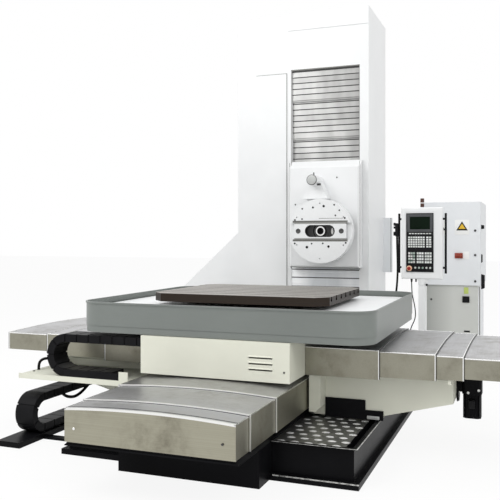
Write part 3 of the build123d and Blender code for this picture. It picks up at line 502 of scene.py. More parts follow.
# key caps: mostly white, some shades apart
keyCaps = {
    "keyWhite": ((0.62, 0.65, 0.62), (0.84, 0.86, 0.86)),
    "keyMixed": ((0.25, 0.36, 0.30), (0.80, 0.76, 0.76)),
}
keyGrain = {"cells": (46.0, 1.0, 40.0), "roughness": 0.45, "grain": 300.0, "bump": (0.06, 0.0003)}


def keyFinish(name, first, second):
    finish = Finish(name, Roughness=keyGrain["roughness"])
    cell = finish.node("ShaderNodeVectorMath", {"operation": "FLOOR"},
                       {0: finish.stretched(keyGrain["cells"])})
    shade = finish.node("ShaderNodeTexWhiteNoise", {"noise_dimensions": "3D"}, {"Vector": cell})
    finish.coat(shade, first, second)
    finish.height(finish.noise(keyGrain["grain"], 2.0), *keyGrain["bump"])
    return finish


def makeFinishes():
    made = {name: painted(name).material for name in paints}
    for make, looks in ((plainMetal, metals), (plastic, plastics), (keyFinish, keyCaps)):
        made.update({name: make(name, *look).material for name, look in looks.items()})
    made["discPaint"] = darkenedPaint("discPaint", facingDark["discGrooveShade"])
    made["slidePaint"] = darkenedPaint("slidePaint", facingDark["slotWallShade"], facingDark["slideEdges"])
    made["troughPaint"] = troughFinish()
    made["tableIron"] = tableFinish()
    made["spindleSteel"] = spindleFinish()
    made["cabinetBody"] = cabinetFinish()
    return made


# the finish of each node, by how its name starts; the longest start wins
nodeFinish = {
    "bed": "blackPaint", "saddle": "creamPaint", "splash_plate": "blackPaint",
    "chain_shelf": "creamPaint", "chain_hanger": "blackPaint", "x_chain": "chainNylon",
    "z_chain": "chainNylon", "floor_channel": "blackPaint", "trough": "troughPaint",
    "tread_plate": "treadMetal", "cross_slide": "creamPaint", "front_box": "creamPaint",
    "tray": "trayPaint", "table_base": "whitePaint", "table": "tableIron", "column": "whitePaint",
    "headstock": "whitePaint", "faceplate": "discPaint", "facing_slide": "slidePaint",
    "spindle": "spindleSteel", "spindle_sleeve": "darkSteel", "nose_cylinder": "whitePaint",
    "pendant": "whitePaint", "pendant_handles": "blackPlastic", "floor_duct": "cabinetPaint",
    "cabinet": "cabinetBody", "cabinet_door": "cabinetPaint", "x_motor": "blackPaint",
    "rear_guard": "cabinetPaint",
}
coverRows = {                  # name start: axis index and sign of the leading end, kind of lip
    "z_cover": (1, -1, "bright"),
    "rear_cover": (1, 1, "bright"),
    "x_cover_right": (0, 1, "black"),
    "x_cover_left": (0, -1, "black"),
}
closedCovers = ("z_cover_1",)


def coverRow(name):            # the row of a cover section, or None for any other node
    return next((row for start, row in coverRows.items() if name.startswith(start)), None)


def coverProfile(name):        # middle and half width across the cover, and the height of its eaves
    across = 1 - coverRow(name)[0]
    low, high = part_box(name)
    middle = (high[across] + low[across]) / 2
    half = (high[across] - low[across]) / 2
    for reach in (half - folds["lipRise"], half):     # with a raised lip, or without one
        side = [v.co.z for v in frame["nodes"][name].data.vertices
                if abs(abs(v.co[across] - middle) - reach) < folds["reachSlack"]]
        if side:
            break
    return middle, reach, max(side)


def finishNodes():
    for name, node in frame["nodes"].items():
        cover = coverRow(name)
        if cover:
            axis, sign, kind = cover
            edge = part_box(name)[1 if sign > 0 else 0][axis]
            kind = "closed" if name in closedCovers else kind
            finish = sheetFinish(f"sheet.{name}", kind, (axis, sign), edge, coverProfile(name))
        elif "_leaf_" in name:
            finish = slatFinish(f"slats.{name}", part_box(name)[1].z, name.startswith("lower"))
        else:
            longest = max((key for key in nodeFinish if name.startswith(key)), key=len)
            finish = finishes[nodeFinish[longest]]
        node.data.materials.clear()
        node.data.materials.append(finish)


# modelling steps: each starts from a primitive and shapes it
def onlyPick(piece):
    bpy.ops.object.select_all(action="DESELECT")
    piece.select_set(True)
    bpy.context.view_layer.objects.active = piece


def startCube(name, low, high):
    bpy.ops.object.select_all(action="DESELECT")
    bpy.ops.mesh.primitive_cube_add(size=1.0, location=[(a + b) / 2 for a, b in zip(low, high)])
    piece = bpy.context.object
    piece.name = name
    piece.scale = [b - a for a, b in zip(low, high)]
    bpy.ops.object.transform_apply(location=True, rotation=True, scale=True)
    return piece


def startPlate(name, corners, front, back):    # corners across and up, front and back along Y
    (x0, z0), (x1, z1) = corners
    return startCube(name, (x0, front, z0), (x1, back, z1))


def around(middle, size):      # the low and high corners of a size about its middle
    return [tuple(m + sign * s / 2 for m, s in zip(middle, size)) for sign in (-1, 1)]


axisTurns = {"x": (0.0, math.pi / 2, 0.0), "y": (math.pi / 2, 0.0, 0.0), "z": (0.0, 0.0, 0.0)}


def startRound(name, place, radius, depth, axis="y", sides=24):
    bpy.ops.object.select_all(action="DESELECT")
    bpy.ops.mesh.primitive_cylinder_add(vertices=sides, radius=radius, depth=depth, location=place,
                                        rotation=axisTurns[axis])
    piece = bpy.context.object
    piece.name = name
    bpy.ops.object.transform_apply(location=True, rotation=True, scale=True)
    return piece


def startKnob(name, place, back, radius, rise, sides=20):    # stands out towards -Y from its back
    return startRound(name, (place[0], back - rise / 2, place[1]), radius, rise, sides=sides)


def stretch(piece, middle, factors):
    for v in piece.data.vertices:
        for axis, factor in enumerate(factors):
            v.co[axis] = middle[axis] + (v.co[axis] - middle[axis]) * factor


def editFaces(piece, test):    # edit mode with only the faces that pass the test
    onlyPick(piece)
    for group in (piece.data.vertices, piece.data.edges):
        group.foreach_set("select", [False] * len(group))
    for face in piece.data.polygons:
        face.select = test(face)
    bpy.context.tool_settings.mesh_select_mode = (False, False, True)
    bpy.ops.object.mode_set(mode="EDIT")


def looking(axis, sign):
    index = "xyz".index(axis)
    return lambda face: face.normal[index] * sign > 0.9


def inset(piece, test, margin, rise=0.0):
    editFaces(piece, test)
    bpy.ops.mesh.inset(thickness=margin, depth=rise)
    bpy.ops.object.mode_set(mode="OBJECT")


def narrow(piece, test, factors):    # scales the picked faces about their own middle
    editFaces(piece, test)
    bpy.ops.transform.resize(value=factors)
    bpy.ops.object.mode_set(mode="OBJECT")


def settle(piece, modifier):
    onlyPick(piece)
    bpy.ops.object.modifier_apply(modifier=modifier.name)


def roundOff(piece, width, segments=2):
    modifier = piece.modifiers.new("edges", "BEVEL")
    modifier.width = width
    modifier.segments = segments
    modifier.limit_method = "ANGLE"
    settle(piece, modifier)


def row(piece, count, step):
    modifier = piece.modifiers.new("row", "ARRAY")
    modifier.count = count
    modifier.use_relative_offset = False
    modifier.use_constant_offset = True
    modifier.constant_offset_displace = step
    settle(piece, modifier)


def twin(piece, name, shift=(0.0, 0.0, 0.0)):
    onlyPick(piece)
    bpy.ops.object.duplicate()
    made = bpy.context.object
    made.name = name
    made.data.transform(Matrix.Translation(shift))
    return made


def unite(pieces, name):
    onlyPick(pieces[0])
    for piece in pieces:
        piece.select_set(True)
    bpy.ops.object.join()
    pieces[0].name = name
    return pieces[0]


def fit(piece, body, finish, slot, edge=None, segments=2, angle=35.0):    # rounds edges, then dresses it
    if edge:
        roundOff(piece, edge, segments)
    onlyPick(piece)
    bpy.ops.object.mode_set(mode="EDIT")
    bpy.ops.mesh.select_all(action="SELECT")
    bpy.ops.mesh.normals_make_consistent(inside=False)
    bpy.ops.object.mode_set(mode="OBJECT")
    bpy.ops.object.shade_smooth_by_angle(angle=math.radians(angle))
    piece.data.materials.clear()
    piece.data.materials.append(finishes[finish])
    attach(piece, body)
    return piece


# cap screw with a socket, its head towards the minus side of Y or the plus side of X or Z; the
# shares are of its radius, and the socket's depth is a share of its rise
screwShares = {"sides": 20, "rim": 0.42, "socketStep": 0.04, "socketDepth": 0.6, "edge": 0.10}


def capScrew(name, place, radius, rise, axis="y"):
    head = startRound(name, place, radius, rise, axis, screwShares["sides"])
    top = looking(axis, -1 if axis == "y" else 1)
    inset(head, top, radius * screwShares["rim"])
    inset(head, lambda face: top(face) and len(face.vertices) > 4, radius * screwShares["socketStep"],
          -rise * screwShares["socketDepth"])
    roundOff(head, radius * screwShares["edge"])
    return head


def capScrews(name, places, radius, rise, axis="y"):
    first = capScrew(name, places[0], radius, rise, axis)
    rest = [twin(first, f"{name}{index}", Vector(place) - Vector(places[0]))
            for index, place in enumerate(places) if index > 0]
    return unite([first] + rest, name)


keyShares = {"sink": 0.0005, "taper": (0.86, 1.0, 0.84), "rim": 0.14, "dish": 0.18}


def keyBlock(name, low, size, rise, columns, rows, step):
    x, y, z = low
    key = startCube(name, (x, y - rise, z), (x + size[0], y + keyShares["sink"], z + size[1]))
    narrow(key, looking("y", -1), keyShares["taper"])
    inset(key, looking("y", -1), size[0] * keyShares["rim"], -rise * keyShares["dish"])
    row(key, columns, (step[0], 0.0, 0.0))
    row(key, rows, (0.0, 0.0, step[1]))
    return key


# control panel on the pendant: corners and places go across and up, rims are margin and rise
panel = {
    "floorY": 1.773,           # bottom of the box's recess
    "faceY": 1.766,            # front of the black plate
    "plate": ((0.853, 1.153), (1.1113, 1.7205)), "plateRim": (0.004, 0.001),
    "bezel": ((0.862, 1.5385), (1.1045, 1.7105)), "bezelRise": 0.006, "bezelEdge": 0.0012,
    "bezelBorder": 0.0245, "bezelStep": (0.0015, -0.0035), "screenArea": 0.02,
    "glass": ((0.8885, 1.5545), (1.0815, 1.6915)), "glassRise": (0.0035, 0.002), "glassEdge": 0.0006,
    "keys": {                  # start, size, rise, columns, rows, step, finish
        "softKeys": ((0.8790, 1.5180), (0.0210, 0.0105), 0.0035, 8, 1, (0.0271, 0.0), "keyWhite"),
        "letterKeys": ((0.8705, 1.3890), (0.0195, 0.0172), 0.0045, 7, 5, (0.0232, 0.0222), "keyWhite"),
        "numberKeys": ((1.0430, 1.3890), (0.0220, 0.0172), 0.0045, 2, 5, (0.0262, 0.0222), "keyWhite"),
        "machineKeys0": ((0.8725, 1.2375), (0.0200, 0.0215), 0.0045, 3, 4, (0.0226, 0.0282), "keyMixed"),
        "machineKeys1": ((0.9535, 1.2375), (0.0200, 0.0215), 0.0045, 3, 4, (0.0226, 0.0282), "keyWhite"),
        "machineKeys2": ((1.0290, 1.2375), (0.0200, 0.0215), 0.0045, 3, 4, (0.0226, 0.0282), "keyWhite"),
    },
    "stop": (0.8825, 1.1870), "stopSides": 32,
    "ring": {"radius": 0.0265, "rise": 0.006, "rim": (0.005, 0.0015), "edge": 0.0012},
    "cap": {"radius": 0.0185, "rise": 0.024, "waist": 0.6, "edge": 0.004},
    "buttons": {"start": (0.9400, 1.1940), "count": 5, "step": 0.0355, "radius": 0.0095, "rise": 0.010,
                "rim": (0.0025, -0.0015), "edge": 0.001},
}


def makePanel():
    face = panel["faceY"]

    def dress(piece, finish, *edge):
        fit(piece, "pendant", finish, "black_plastic", *edge)

    plate = startPlate("panelPlate", panel["plate"], face, panel["floorY"])
    inset(plate, looking("y", -1), *panel["plateRim"])
    dress(plate, "blackPlastic")
    bezel = startPlate("screenBezel", panel["bezel"], face - panel["bezelRise"], face)
    inset(bezel, looking("y", -1), panel["bezelBorder"])
    inset(bezel, lambda part: part.normal.y < -0.9 and part.area > panel["screenArea"], *panel["bezelStep"])
    dress(bezel, "bezelPlastic", panel["bezelEdge"])
    front, back = (face - rise for rise in panel["glassRise"])
    glass = startPlate("screenGlass", panel["glass"], front, back)
    dress(glass, "screenGlass", panel["glassEdge"])
    for name, (start, size, rise, columns, rows, step, finish) in panel["keys"].items():
        dress(keyBlock(name, (start[0], face, start[1]), size, rise, columns, rows, step), finish)

    ring = panel["ring"]
    piece = startKnob("stopRing", panel["stop"], face, ring["radius"], ring["rise"], panel["stopSides"])
    inset(piece, looking("y", -1), *ring["rim"])
    dress(piece, "ringPlastic", ring["edge"])
    cap = panel["cap"]
    piece = startKnob("stopCap", panel["stop"], face - ring["rise"], cap["radius"], cap["rise"],
                      panel["stopSides"])
    narrow(piece, looking("y", 1), (cap["waist"], 1.0, cap["waist"]))
    dress(piece, "redPlastic", cap["edge"], 3)
    button = panel["buttons"]
    piece = startKnob("panelButtons", button["start"], face, button["radius"], button["rise"])
    inset(piece, looking("y", -1), *button["rim"])
    roundOff(piece, button["edge"])
    row(piece, button["count"], (button["step"], 0.0, 0.0))
    dress(piece, "keyMixed")


# what hangs on the pendant's box: lamp tiers, hand control, neck, clamp lever and glands
pendantExtras = {
    "lamp": {"place": (1.0, 1.812), "radius": 0.0185, "tiers": ((1.779, 1.815), (1.824, 1.863)),
             "sides": 28, "rim": (0.003, 0.001), "edge": 0.0015},
    "holder": {"corners": ((0.7450, 1.788, 1.4950), (0.7680, 1.834, 1.6250)), "edge": 0.005,
               "rim": (0.006, 0.004)},
    "knobs": {"out": 0.008, "depth": 0.026, "flare": 1.35, "edge": 0.002,
              "sizes": ((1.6150, 0.012), (1.5830, 0.009), (1.5230, 0.016))},      # height, radius
    "neck": {"corners": ((0.955, 1.784, 1.040), (1.058, 1.840, 1.0845)), "taper": 0.72, "edge": 0.004},
    "lever": {"place": (1.0480, 1.772, 1.0300), "radius": 0.011, "depth": 0.020, "edge": 0.005},
    "stem": {"place": (1.0440, 1.790, 1.0300), "radius": 0.005, "depth": 0.030},
    "glands": {"places": ((0.8980, 1.812, 0.0125), (0.9400, 1.812, 0.0100)), "span": (1.052, 1.0851),
               "taper": 0.66, "hole": 0.18, "holeRise": -0.004, "edge": 0.0012},
}


def makePendantExtras():
    lamp = pendantExtras["lamp"]
    tiers = []
    for index, (low, high) in enumerate(lamp["tiers"]):
        tier = startRound(f"lampTier{index}", lamp["place"] + ((low + high) / 2,), lamp["radius"],
                          high - low, "z", lamp["sides"])
        inset(tier, looking("z", 1), *lamp["rim"])
        roundOff(tier, lamp["edge"])
        tiers.append(tier)
    fit(unite(tiers, "lampTiers"), "pendant", "lampPlastic", "black_plastic")

    low, high = pendantExtras["holder"]["corners"]
    holder = startCube("handControl", low, high)
    roundOff(holder, pendantExtras["holder"]["edge"], 3)
    inset(holder, looking("x", -1), *pendantExtras["holder"]["rim"])
    knobs = pendantExtras["knobs"]
    parts = [holder]
    for height, radius in knobs["sizes"]:
        knob = startRound(f"handKnob{height}", (low[0] - knobs["out"], (low[1] + high[1]) / 2, height),
                          radius, knobs["depth"], "x", 20)
        narrow(knob, looking("x", -1), (1.0, knobs["flare"], knobs["flare"]))
        roundOff(knob, knobs["edge"])
        parts.append(knob)
    fit(unite(parts, "handControl"), "pendant", "blackPlastic", "black_plastic")

    neck = pendantExtras["neck"]
    piece = startCube("pendantNeck", *neck["corners"])
    narrow(piece, looking("z", -1), (neck["taper"], 1.0, 1.0))
    fit(piece, "pendant", "whitePaint", "white_paint", neck["edge"])
    lever, stem = pendantExtras["lever"], pendantExtras["stem"]
    grip = startRound("clampLever", lever["place"], lever["radius"], lever["depth"], sides=18)
    roundOff(grip, lever["edge"], 3)
    shaft = startRound("clampStem", stem["place"], stem["radius"], stem["depth"], sides=14)
    fit(unite([grip, shaft], "clampLever"), "bed", "blackPlastic", "black_plastic")

    glands = pendantExtras["glands"]
    low, high = glands["span"]
    parts = []
    for index, (x, y, radius) in enumerate(glands["places"]):
        gland = startRound(f"gland{index}", (x, y, (low + high) / 2), radius, high - low, "z", 6)
        narrow(gland, looking("z", -1), (glands["taper"], glands["taper"], 1.0))
        inset(gland, looking("z", -1), radius * glands["hole"], glands["holeRise"])
        roundOff(gland, glands["edge"])
        parts.append(gland)
    fit(unite(parts, "cableGlands"), "pendant", "blackPlastic", "black_plastic")


# fittings on the cabinet's front and right side
cabinet = {
    "frontY": 2.925,
    "signs": ((1.0400, 1.5980), (1.2770, 1.5970)),           # middles, across and up
    "signSize": (0.152, 0.162), "plateRise": 0.0015, "plateEdge": 0.0005,
    "triangles": (             # name, up from the sign's middle, size, front and back, finish
        ("signBorder", 0.014, (0.122, 0.100), (0.0024, 0.0013), "blackPlastic"),
        ("signField", 0.010, (0.0752, 0.0586), (0.0034, 0.0022), "signYellow"),
    ),
    "triangleEdge": 0.0004,
    "switch": {"place": (1.2425, 1.2845), "size": (0.086, 0.060), "rise": 0.012, "edge": 0.006},
    "knob": {"back": 0.011, "radius": 0.026, "rise": 0.026, "edge": 0.004},
    "grip": {"size": (0.064, 0.016), "front": 0.052, "back": 0.030, "edge": 0.005},
    "label": ((1.2860, 1.2460), (1.3530, 1.3300)),
    "locks": ((1.4157, 2.922, 1.5589), (1.4157, 2.922, 1.2916), (1.4157, 2.922, 1.0058)),
    "lockRadius": 0.0125, "lockRise": 0.008,
    "sideX": 1.473, "sideDepth": 0.075, "sideTaper": (1.0, 0.8, 0.86), "sideEdge": 0.003,
    "sides": (((1.576, 1.622), 0.030, 3.00), ((1.205, 1.300), 0.012, 3.01),   # heights, reach, y
              ((0.915, 1.080), 0.036, 3.00)),
    "blocks": {
        "cabinetSocket": ((1.2790, 2.941, 0.7680), (1.3530, 2.9531, 0.8372), "blackPlastic"),
        "cabinetSmallsign": ((1.2950, 2.9500, 0.8650), (1.3430, 2.9531, 0.9350), "signGreen"),
        "cabinetVent": ((1.2950, 2.9500, 0.4430), (1.3580, 2.9531, 0.4600), "blackPlastic"),
        # a dark strip painted as the shadow along the cabinet's lower right edge
        "cabinetEdgeShadow": ((1.4560, 2.9500, 0.0300), (1.4655, 2.9535, 0.9480), "waySteel"),
    },
    "blockEdge": 0.0008, "socketHollow": (0.010, -0.006),
    "button": {"place": (0.9441, 2.950, 0.7937), "radius": 0.011, "rise": 0.006},
}


def makeTriangle(name, middle, size, front, back, finish):
    x, z = middle
    width, height = size
    sign = startRound(name, (x, (front + back) / 2, z), 1.0, back - front, sides=3)
    for v in sign.data.vertices:           # an equal-sided triangle, point up, about its centre
        v.co.x = x + (v.co.x - x) * width / math.sqrt(3.0)
        v.co.z = z - height / 2 + (v.co.z - z + 0.5) * height / 1.5
    roundOff(sign, cabinet["triangleEdge"])
    return fit(sign, "cabinet_door", finish, "light_grey_paint")


def makeCabinetFittings():
    front = cabinet["frontY"]

    def makeSignPlate(name, corners):
        plate = startPlate(name, corners, front - cabinet["plateRise"], front)
        fit(plate, "cabinet_door", "signWhite", "light_grey_paint", cabinet["plateEdge"])

    for index, (x, z) in enumerate(cabinet["signs"]):
        makeSignPlate(f"signPlate{index}", around((x, z), cabinet["signSize"]))
        for name, up, size, (ahead, behind), finish in cabinet["triangles"]:
            makeTriangle(f"{name}{index}", (x, z + up), size, front - ahead, front - behind, finish)

    switch = cabinet["switch"]
    base = startPlate("switchBase", around(switch["place"], switch["size"]), front - switch["rise"], front)
    fit(base, "cabinet_door", "switchRed", "black_plastic", switch["edge"], 3)
    knob = cabinet["knob"]
    turner = startKnob("switchKnob", switch["place"], front - knob["back"], knob["radius"], knob["rise"], 28)
    roundOff(turner, knob["edge"], 3)
    grip = cabinet["grip"]
    handle = startPlate("switchGrip", around(switch["place"], grip["size"]), front - grip["front"],
                        front - grip["back"])
    roundOff(handle, grip["edge"], 3)
    fit(unite([turner, handle], "switchKnob"), "cabinet_door", "switchRed", "black_plastic")
    makeSignPlate("switchLabel", cabinet["label"])
    locks = capScrews("doorLocks", cabinet["locks"], cabinet["lockRadius"], cabinet["lockRise"])
    fit(locks, "cabinet_door", "darkSteel", "bare_steel")

    sides = []
    for index, ((low, high), reach, y) in enumerate(cabinet["sides"]):
        side = startCube(f"sideFitting{index}", (cabinet["sideX"], y, low),
                         (cabinet["sideX"] + reach, y + cabinet["sideDepth"], high))
        narrow(side, looking("x", 1), cabinet["sideTaper"])
        roundOff(side, cabinet["sideEdge"])
        sides.append(side)
    fit(unite(sides, "sideFittings"), "bed", "blackPlastic", "black_plastic")
    for name, (low, high, finish) in cabinet["blocks"].items():
        block = startCube(name, low, high)
        roundOff(block, cabinet["blockEdge"])
        if name == "cabinetSocket":
            inset(block, looking("y", -1), *cabinet["socketHollow"])
        fit(block, "bed", finish, "black_plastic")
    fit(capScrew("cabinetButton", **cabinet["button"]), "bed", "darkSteel", "bare_steel")


# facing head: ways beside the slide, screws and tapped holes
discFace = {
    "frontY": 1.7175, "backY": 1.7185,     # the strips' backs lie in the disc
    "middle": (0.0, 1.55),
    "way": {"inner": 0.0846, "outer": 0.1045, "reach": 0.285, "rise": 0.0012, "rim": (0.003, -0.0008)},
    "gib": ((-0.010, 1.6755), (0.238, 1.6795)), "gibEdge": 0.0004,
    "screwOut": 0.0006, "screwRise": 0.0024,
    "tapped": (                # across, up and radius of the small dark screws
        (-0.184, 0.226, 0.0085), (-0.072, 0.238, 0.0100), (0.040, 0.250, 0.0125),
        (0.148, 0.262, 0.0085), (0.201, 0.207, 0.0080), (0.161, 0.156, 0.0080),
        (0.256, 0.129, 0.0090), (-0.262, 0.113, 0.0090), (-0.186, 0.122, 0.0085),
        (-0.264, -0.126, 0.0090), (-0.085, -0.127, 0.0085), (0.031, -0.124, 0.0085),
        (0.266, -0.118, 0.0090), (-0.135, -0.163, 0.0135), (0.090, -0.156, 0.0125),
    ),
    "glint": {"place": (0.116, 1.7659, 1.55), "size": (0.0105, 1.0, 0.033), "depth": 0.0006, "rim": 0.003},
    "slide": {"places": ((-0.226, 1.7115, 1.55), (0.222, 1.7115, 1.55)), "radius": 0.025, "rise": 0.005},
}


def makeDiscFace():
    x, z = discFace["middle"]
    front = discFace["frontY"]
    way = discFace["way"]
    strips = []
    for sign in (-1, 1):
        low, high = sorted((z + sign * way["inner"], z + sign * way["outer"]))
        strip = startPlate(f"way{sign}", ((x - way["reach"], low), (x + way["reach"], high)),
                           front - way["rise"], discFace["backY"])
        inset(strip, looking("y", -1), *way["rim"])
        strips.append(strip)
    gib = startPlate("gibLine", discFace["gib"], front - way["rise"], discFace["backY"])
    roundOff(gib, discFace["gibEdge"])
    fit(unite(strips + [gib], "discWays"), "faceplate", "waySteel", "bare_steel")
    screws = [capScrew(f"discScrew{index}", (x + across, front - discFace["screwOut"], z + up), radius,
                       discFace["screwRise"])
              for index, (across, up, radius) in enumerate(discFace["tapped"])]
    fit(unite(screws, "discScrews"), "faceplate", "blackPlastic", "bare_steel")
    glint = discFace["glint"]
    piece = startRound("slotGlint", glint["place"], 1.0, glint["depth"], sides=28)
    stretch(piece, glint["place"], glint["size"])
    inset(piece, looking("y", -1), glint["rim"])
    fit(piece, "faceplate", "signWhite", "bare_steel")
    fit(capScrews("slideScrews", **discFace["slide"]), "facing_slide", "darkSteel", "bare_steel")


# nose cylinder: end plate in a dark joint, a fitting on top and a clamp below
nose = {
    "joint": {"place": (-0.075, 1.6822, 2.065), "radius": 0.0535, "depth": 0.0024, "sides": 40},
    "plate": {"place": (-0.075, 1.6800, 2.065), "radius": 0.0475, "depth": 0.0060, "sides": 40},
    "fitting": {"place": (-0.058, 1.703, 2.128), "radius": 0.0075, "depth": 0.026, "axis": "z", "sides": 16},
    "clamp": {"place": (-0.018, 1.752, 2.022), "radius": 0.011, "depth": 0.034, "axis": "x", "sides": 18},
    "jointEdge": 0.0006, "plateRim": (0.006, 0.0012), "plateEdge": 0.0010,
    "fittingTaper": 0.7, "clampRim": (0.004, -0.003), "edge": 0.0015,
}


def makeNoseEnd():
    joint = startRound("noseJoint", **nose["joint"])
    fit(joint, "headstock", "darkSteel", "bare_steel", nose["jointEdge"])
    plate = startRound("nosePlate", **nose["plate"])
    inset(plate, looking("y", -1), *nose["plateRim"])
    fit(plate, "headstock", "castGrey", "bare_steel", nose["plateEdge"])
    fitting = startRound("noseFitting", **nose["fitting"])
    narrow(fitting, looking("z", 1), (nose["fittingTaper"], nose["fittingTaper"], 1.0))
    roundOff(fitting, nose["edge"])
    clamp = startRound("noseClamp", **nose["clamp"])
    inset(clamp, looking("x", 1), *nose["clampRim"])
    roundOff(clamp, nose["edge"])
    fit(unite([fitting, clamp], "noseFittings"), "headstock", "darkSteel", "bare_steel")


# dark joints and screws on the column and the headstock, and painted shade along the slat bay's sides and
# top: low and high corners of thin strips
columnLines = {
    "bed": (
        ((-0.4752, 2.0925, 0.700), (-0.4712, 2.1005, 3.2510)),
        ((-0.8220, 2.0925, 3.2470), (-0.4712, 2.1005, 3.2510)),
        # painted shade along the slat bay's right and left sides and its top
        ((0.3175, 2.0985, 1.150), (0.3215, 2.1010, 3.2850)),
        ((-0.4245, 2.0985, 1.150), (-0.4205, 2.1010, 3.2850)),
        ((-0.4200, 2.1000, 3.2730), (0.3170, 2.1060, 3.2850)),
        ((0.5040, 2.8785, 1.0900), (0.5105, 2.8810, 1.7050)),
    ),
    "headstock": (
        ((-0.3900, 1.9600, 1.1695), (0.3410, 2.0900, 1.1740)),
        ((0.3495, 1.9680, 1.1900), (0.3525, 1.9760, 2.2700)),
        ((-0.4015, 1.9680, 1.1900), (-0.3985, 1.9760, 2.2700)),
    ),
    "edge": 0.0004,
    "screws": {"places": ((0.117, 1.949, 2.104), (0.329, 1.966, 2.163), (-0.330, 1.949, 1.830)),
               "radius": 0.0075, "rise": 0.005},
}


def makeColumnLines():
    for body in ("bed", "headstock"):
        strips = []
        for index, corners in enumerate(columnLines[body]):
            strip = startCube(f"joint.{body}{index}", *corners)
            roundOff(strip, columnLines["edge"], 1)
            strips.append(strip)
        fit(unite(strips, f"joints.{body}"), body, "waySteel", "black_plastic")
    fit(capScrews("headScrews", **columnLines["screws"]), "headstock", "darkSteel", "bare_steel")


# pressed treads: two staggered sets on each plate
treads = {
    "topZ": 0.226, "firstX": 0.528, "firstY": -1.075, "columns": 5, "pitchX": 0.088, "rowPairs": 12,
    "pitchY": 0.186, "stagger": 0.42,      # share of the pitch along X
    "reach": (0.029, 0.0185, 1.0),         # half of each lozenge along X and Y
    "rise": 0.0032, "taper": 0.62, "smoothAngle": 20.0,
}


def makeTreads():
    for side, plate in ((1, "treadsRight"), (-1, "treadsLeft")):
        sets = []
        for index in (0, 1):
            place = (treads["firstX"] + index * treads["pitchX"] * treads["stagger"],
                     treads["firstY"] + index * treads["pitchY"] / 2, treads["topZ"] + treads["rise"] / 2)
            lozenge = startRound(f"{plate}{index}", place, 1.0, treads["rise"], "z", 8)
            stretch(lozenge, place, treads["reach"])
            narrow(lozenge, looking("z", 1), (treads["taper"], treads["taper"], 1.0))
            row(lozenge, treads["columns"], (treads["pitchX"], 0.0, 0.0))
            row(lozenge, treads["rowPairs"], (0.0, treads["pitchY"], 0.0))
            sets.append(lozenge)
        piece = unite(sets, plate)
        if side < 0:
            piece.data.transform(Matrix.Scale(-1.0, 4, (1, 0, 0)))
        fit(piece, "bed", "treadCrown", "tread_steel", angle=treads["smoothAngle"])


# X motor: flange bolts, gearbox screws, body ribs, plug, cap and disc
motor = {
    "flange": {"middle": (1.522, -0.150, 0.470), "circle": 0.055, "radius": 0.0075, "rise": 0.008,
               "turns": (45, 135, 225, 315)},
    "gearScrews": {"places": ((1.583, -0.218, 0.432), (1.652, -0.218, 0.452)), "radius": 0.009,
                   "rise": 0.008},
    "ribs": {"x": (1.552, 1.660), "y": (-0.214, -0.203), "z": (0.268, 0.412), "count": 5, "width": 0.008,
             "taper": (0.6, 1.0, 0.96)},
    "plug": ((1.585, -0.245, 0.330), (1.627, -0.209, 0.385)), "plugEdge": 0.006,
    "cap": ((1.556, -0.200, 0.530), (1.656, -0.100, 0.5365)), "capEdge": 0.002,
    "disc": {"place": (1.5125, -0.150, 0.425), "radius": 0.072, "depth": 0.014, "axis": "x", "sides": 36},
    "discTaper": 0.9,
}


def makeMotorFittings():
    flange = motor["flange"]
    x, y, z = flange["middle"]
    places = [(x, y + flange["circle"] * math.cos(turn), z + flange["circle"] * math.sin(turn))
              for turn in map(math.radians, flange["turns"])]
    bolts = capScrews("flangeBolts", places, flange["radius"], flange["rise"], "x")
    fit(bolts, "saddle", "zincBolt", "bare_steel")
    fit(capScrews("gearScrews", **motor["gearScrews"]), "saddle", "zincBolt", "bare_steel")
    ribs = motor["ribs"]
    (x0, x1), (y0, y1), (z0, z1) = ribs["x"], ribs["y"], ribs["z"]
    rib = startCube("motorRibs", (x0, y0, z0), (x0 + ribs["width"], y1, z1))
    narrow(rib, looking("y", -1), ribs["taper"])
    row(rib, ribs["count"], ((x1 - x0 - ribs["width"]) / (ribs["count"] - 1), 0.0, 0.0))
    fit(rib, "saddle", "blackPaint", "black_paint")
    plug, cap = startCube("motorPlug", *motor["plug"]), startCube("motorCap", *motor["cap"])
    fit(plug, "saddle", "blackPlastic", "black_plastic", motor["plugEdge"], 3)
    fit(cap, "saddle", "blackPaint", "black_paint", motor["capEdge"])
    disc = startRound("motorDisc", **motor["disc"])
    narrow(disc, looking("x", 1), (1.0, motor["discTaper"], motor["discTaper"]))
    fit(disc, "saddle", "blackPaint", "black_paint")


# chain shelf: guide plate behind the lip, screws on the wing and on the shelf's end, splash plate's catch
shelf = {
    "guide": ((-1.170, -0.9425, 0.4775), (-0.7155, -0.9365, 0.533)), "guideRim": (0.004, 0.0008),
    "guideEdge": 0.0008,
    "wingScrews": {"places": ((-1.3933, -0.4445, 0.4455), (-1.2607, -0.4445, 0.4465)), "radius": 0.0105,
                   "rise": 0.029},
    "topScrew": {"place": (-1.529, -0.820, 0.4795), "radius": 0.0085, "rise": 0.006, "axis": "z"},
    "catch": ((0.9350, -0.4475, 0.2470), (1.0200, -0.4405, 0.2710)), "catchEdge": 0.0015,
}


def makeShelfFittings():
    guide = startCube("chainGuide", *shelf["guide"])
    inset(guide, looking("y", -1), *shelf["guideRim"])
    fit(guide, "saddle", "chainNylon", "black_plastic", shelf["guideEdge"])
    fit(capScrews("wingScrews", **shelf["wingScrews"]), "saddle", "darkSteel", "bare_steel")
    fit(capScrew("shelfScrew", **shelf["topScrew"]), "saddle", "darkSteel", "bare_steel")
    catch = startCube("splashCatch", *shelf["catch"])
    fit(catch, "saddle", "castGrey", "bare_steel", shelf["catchEdge"])


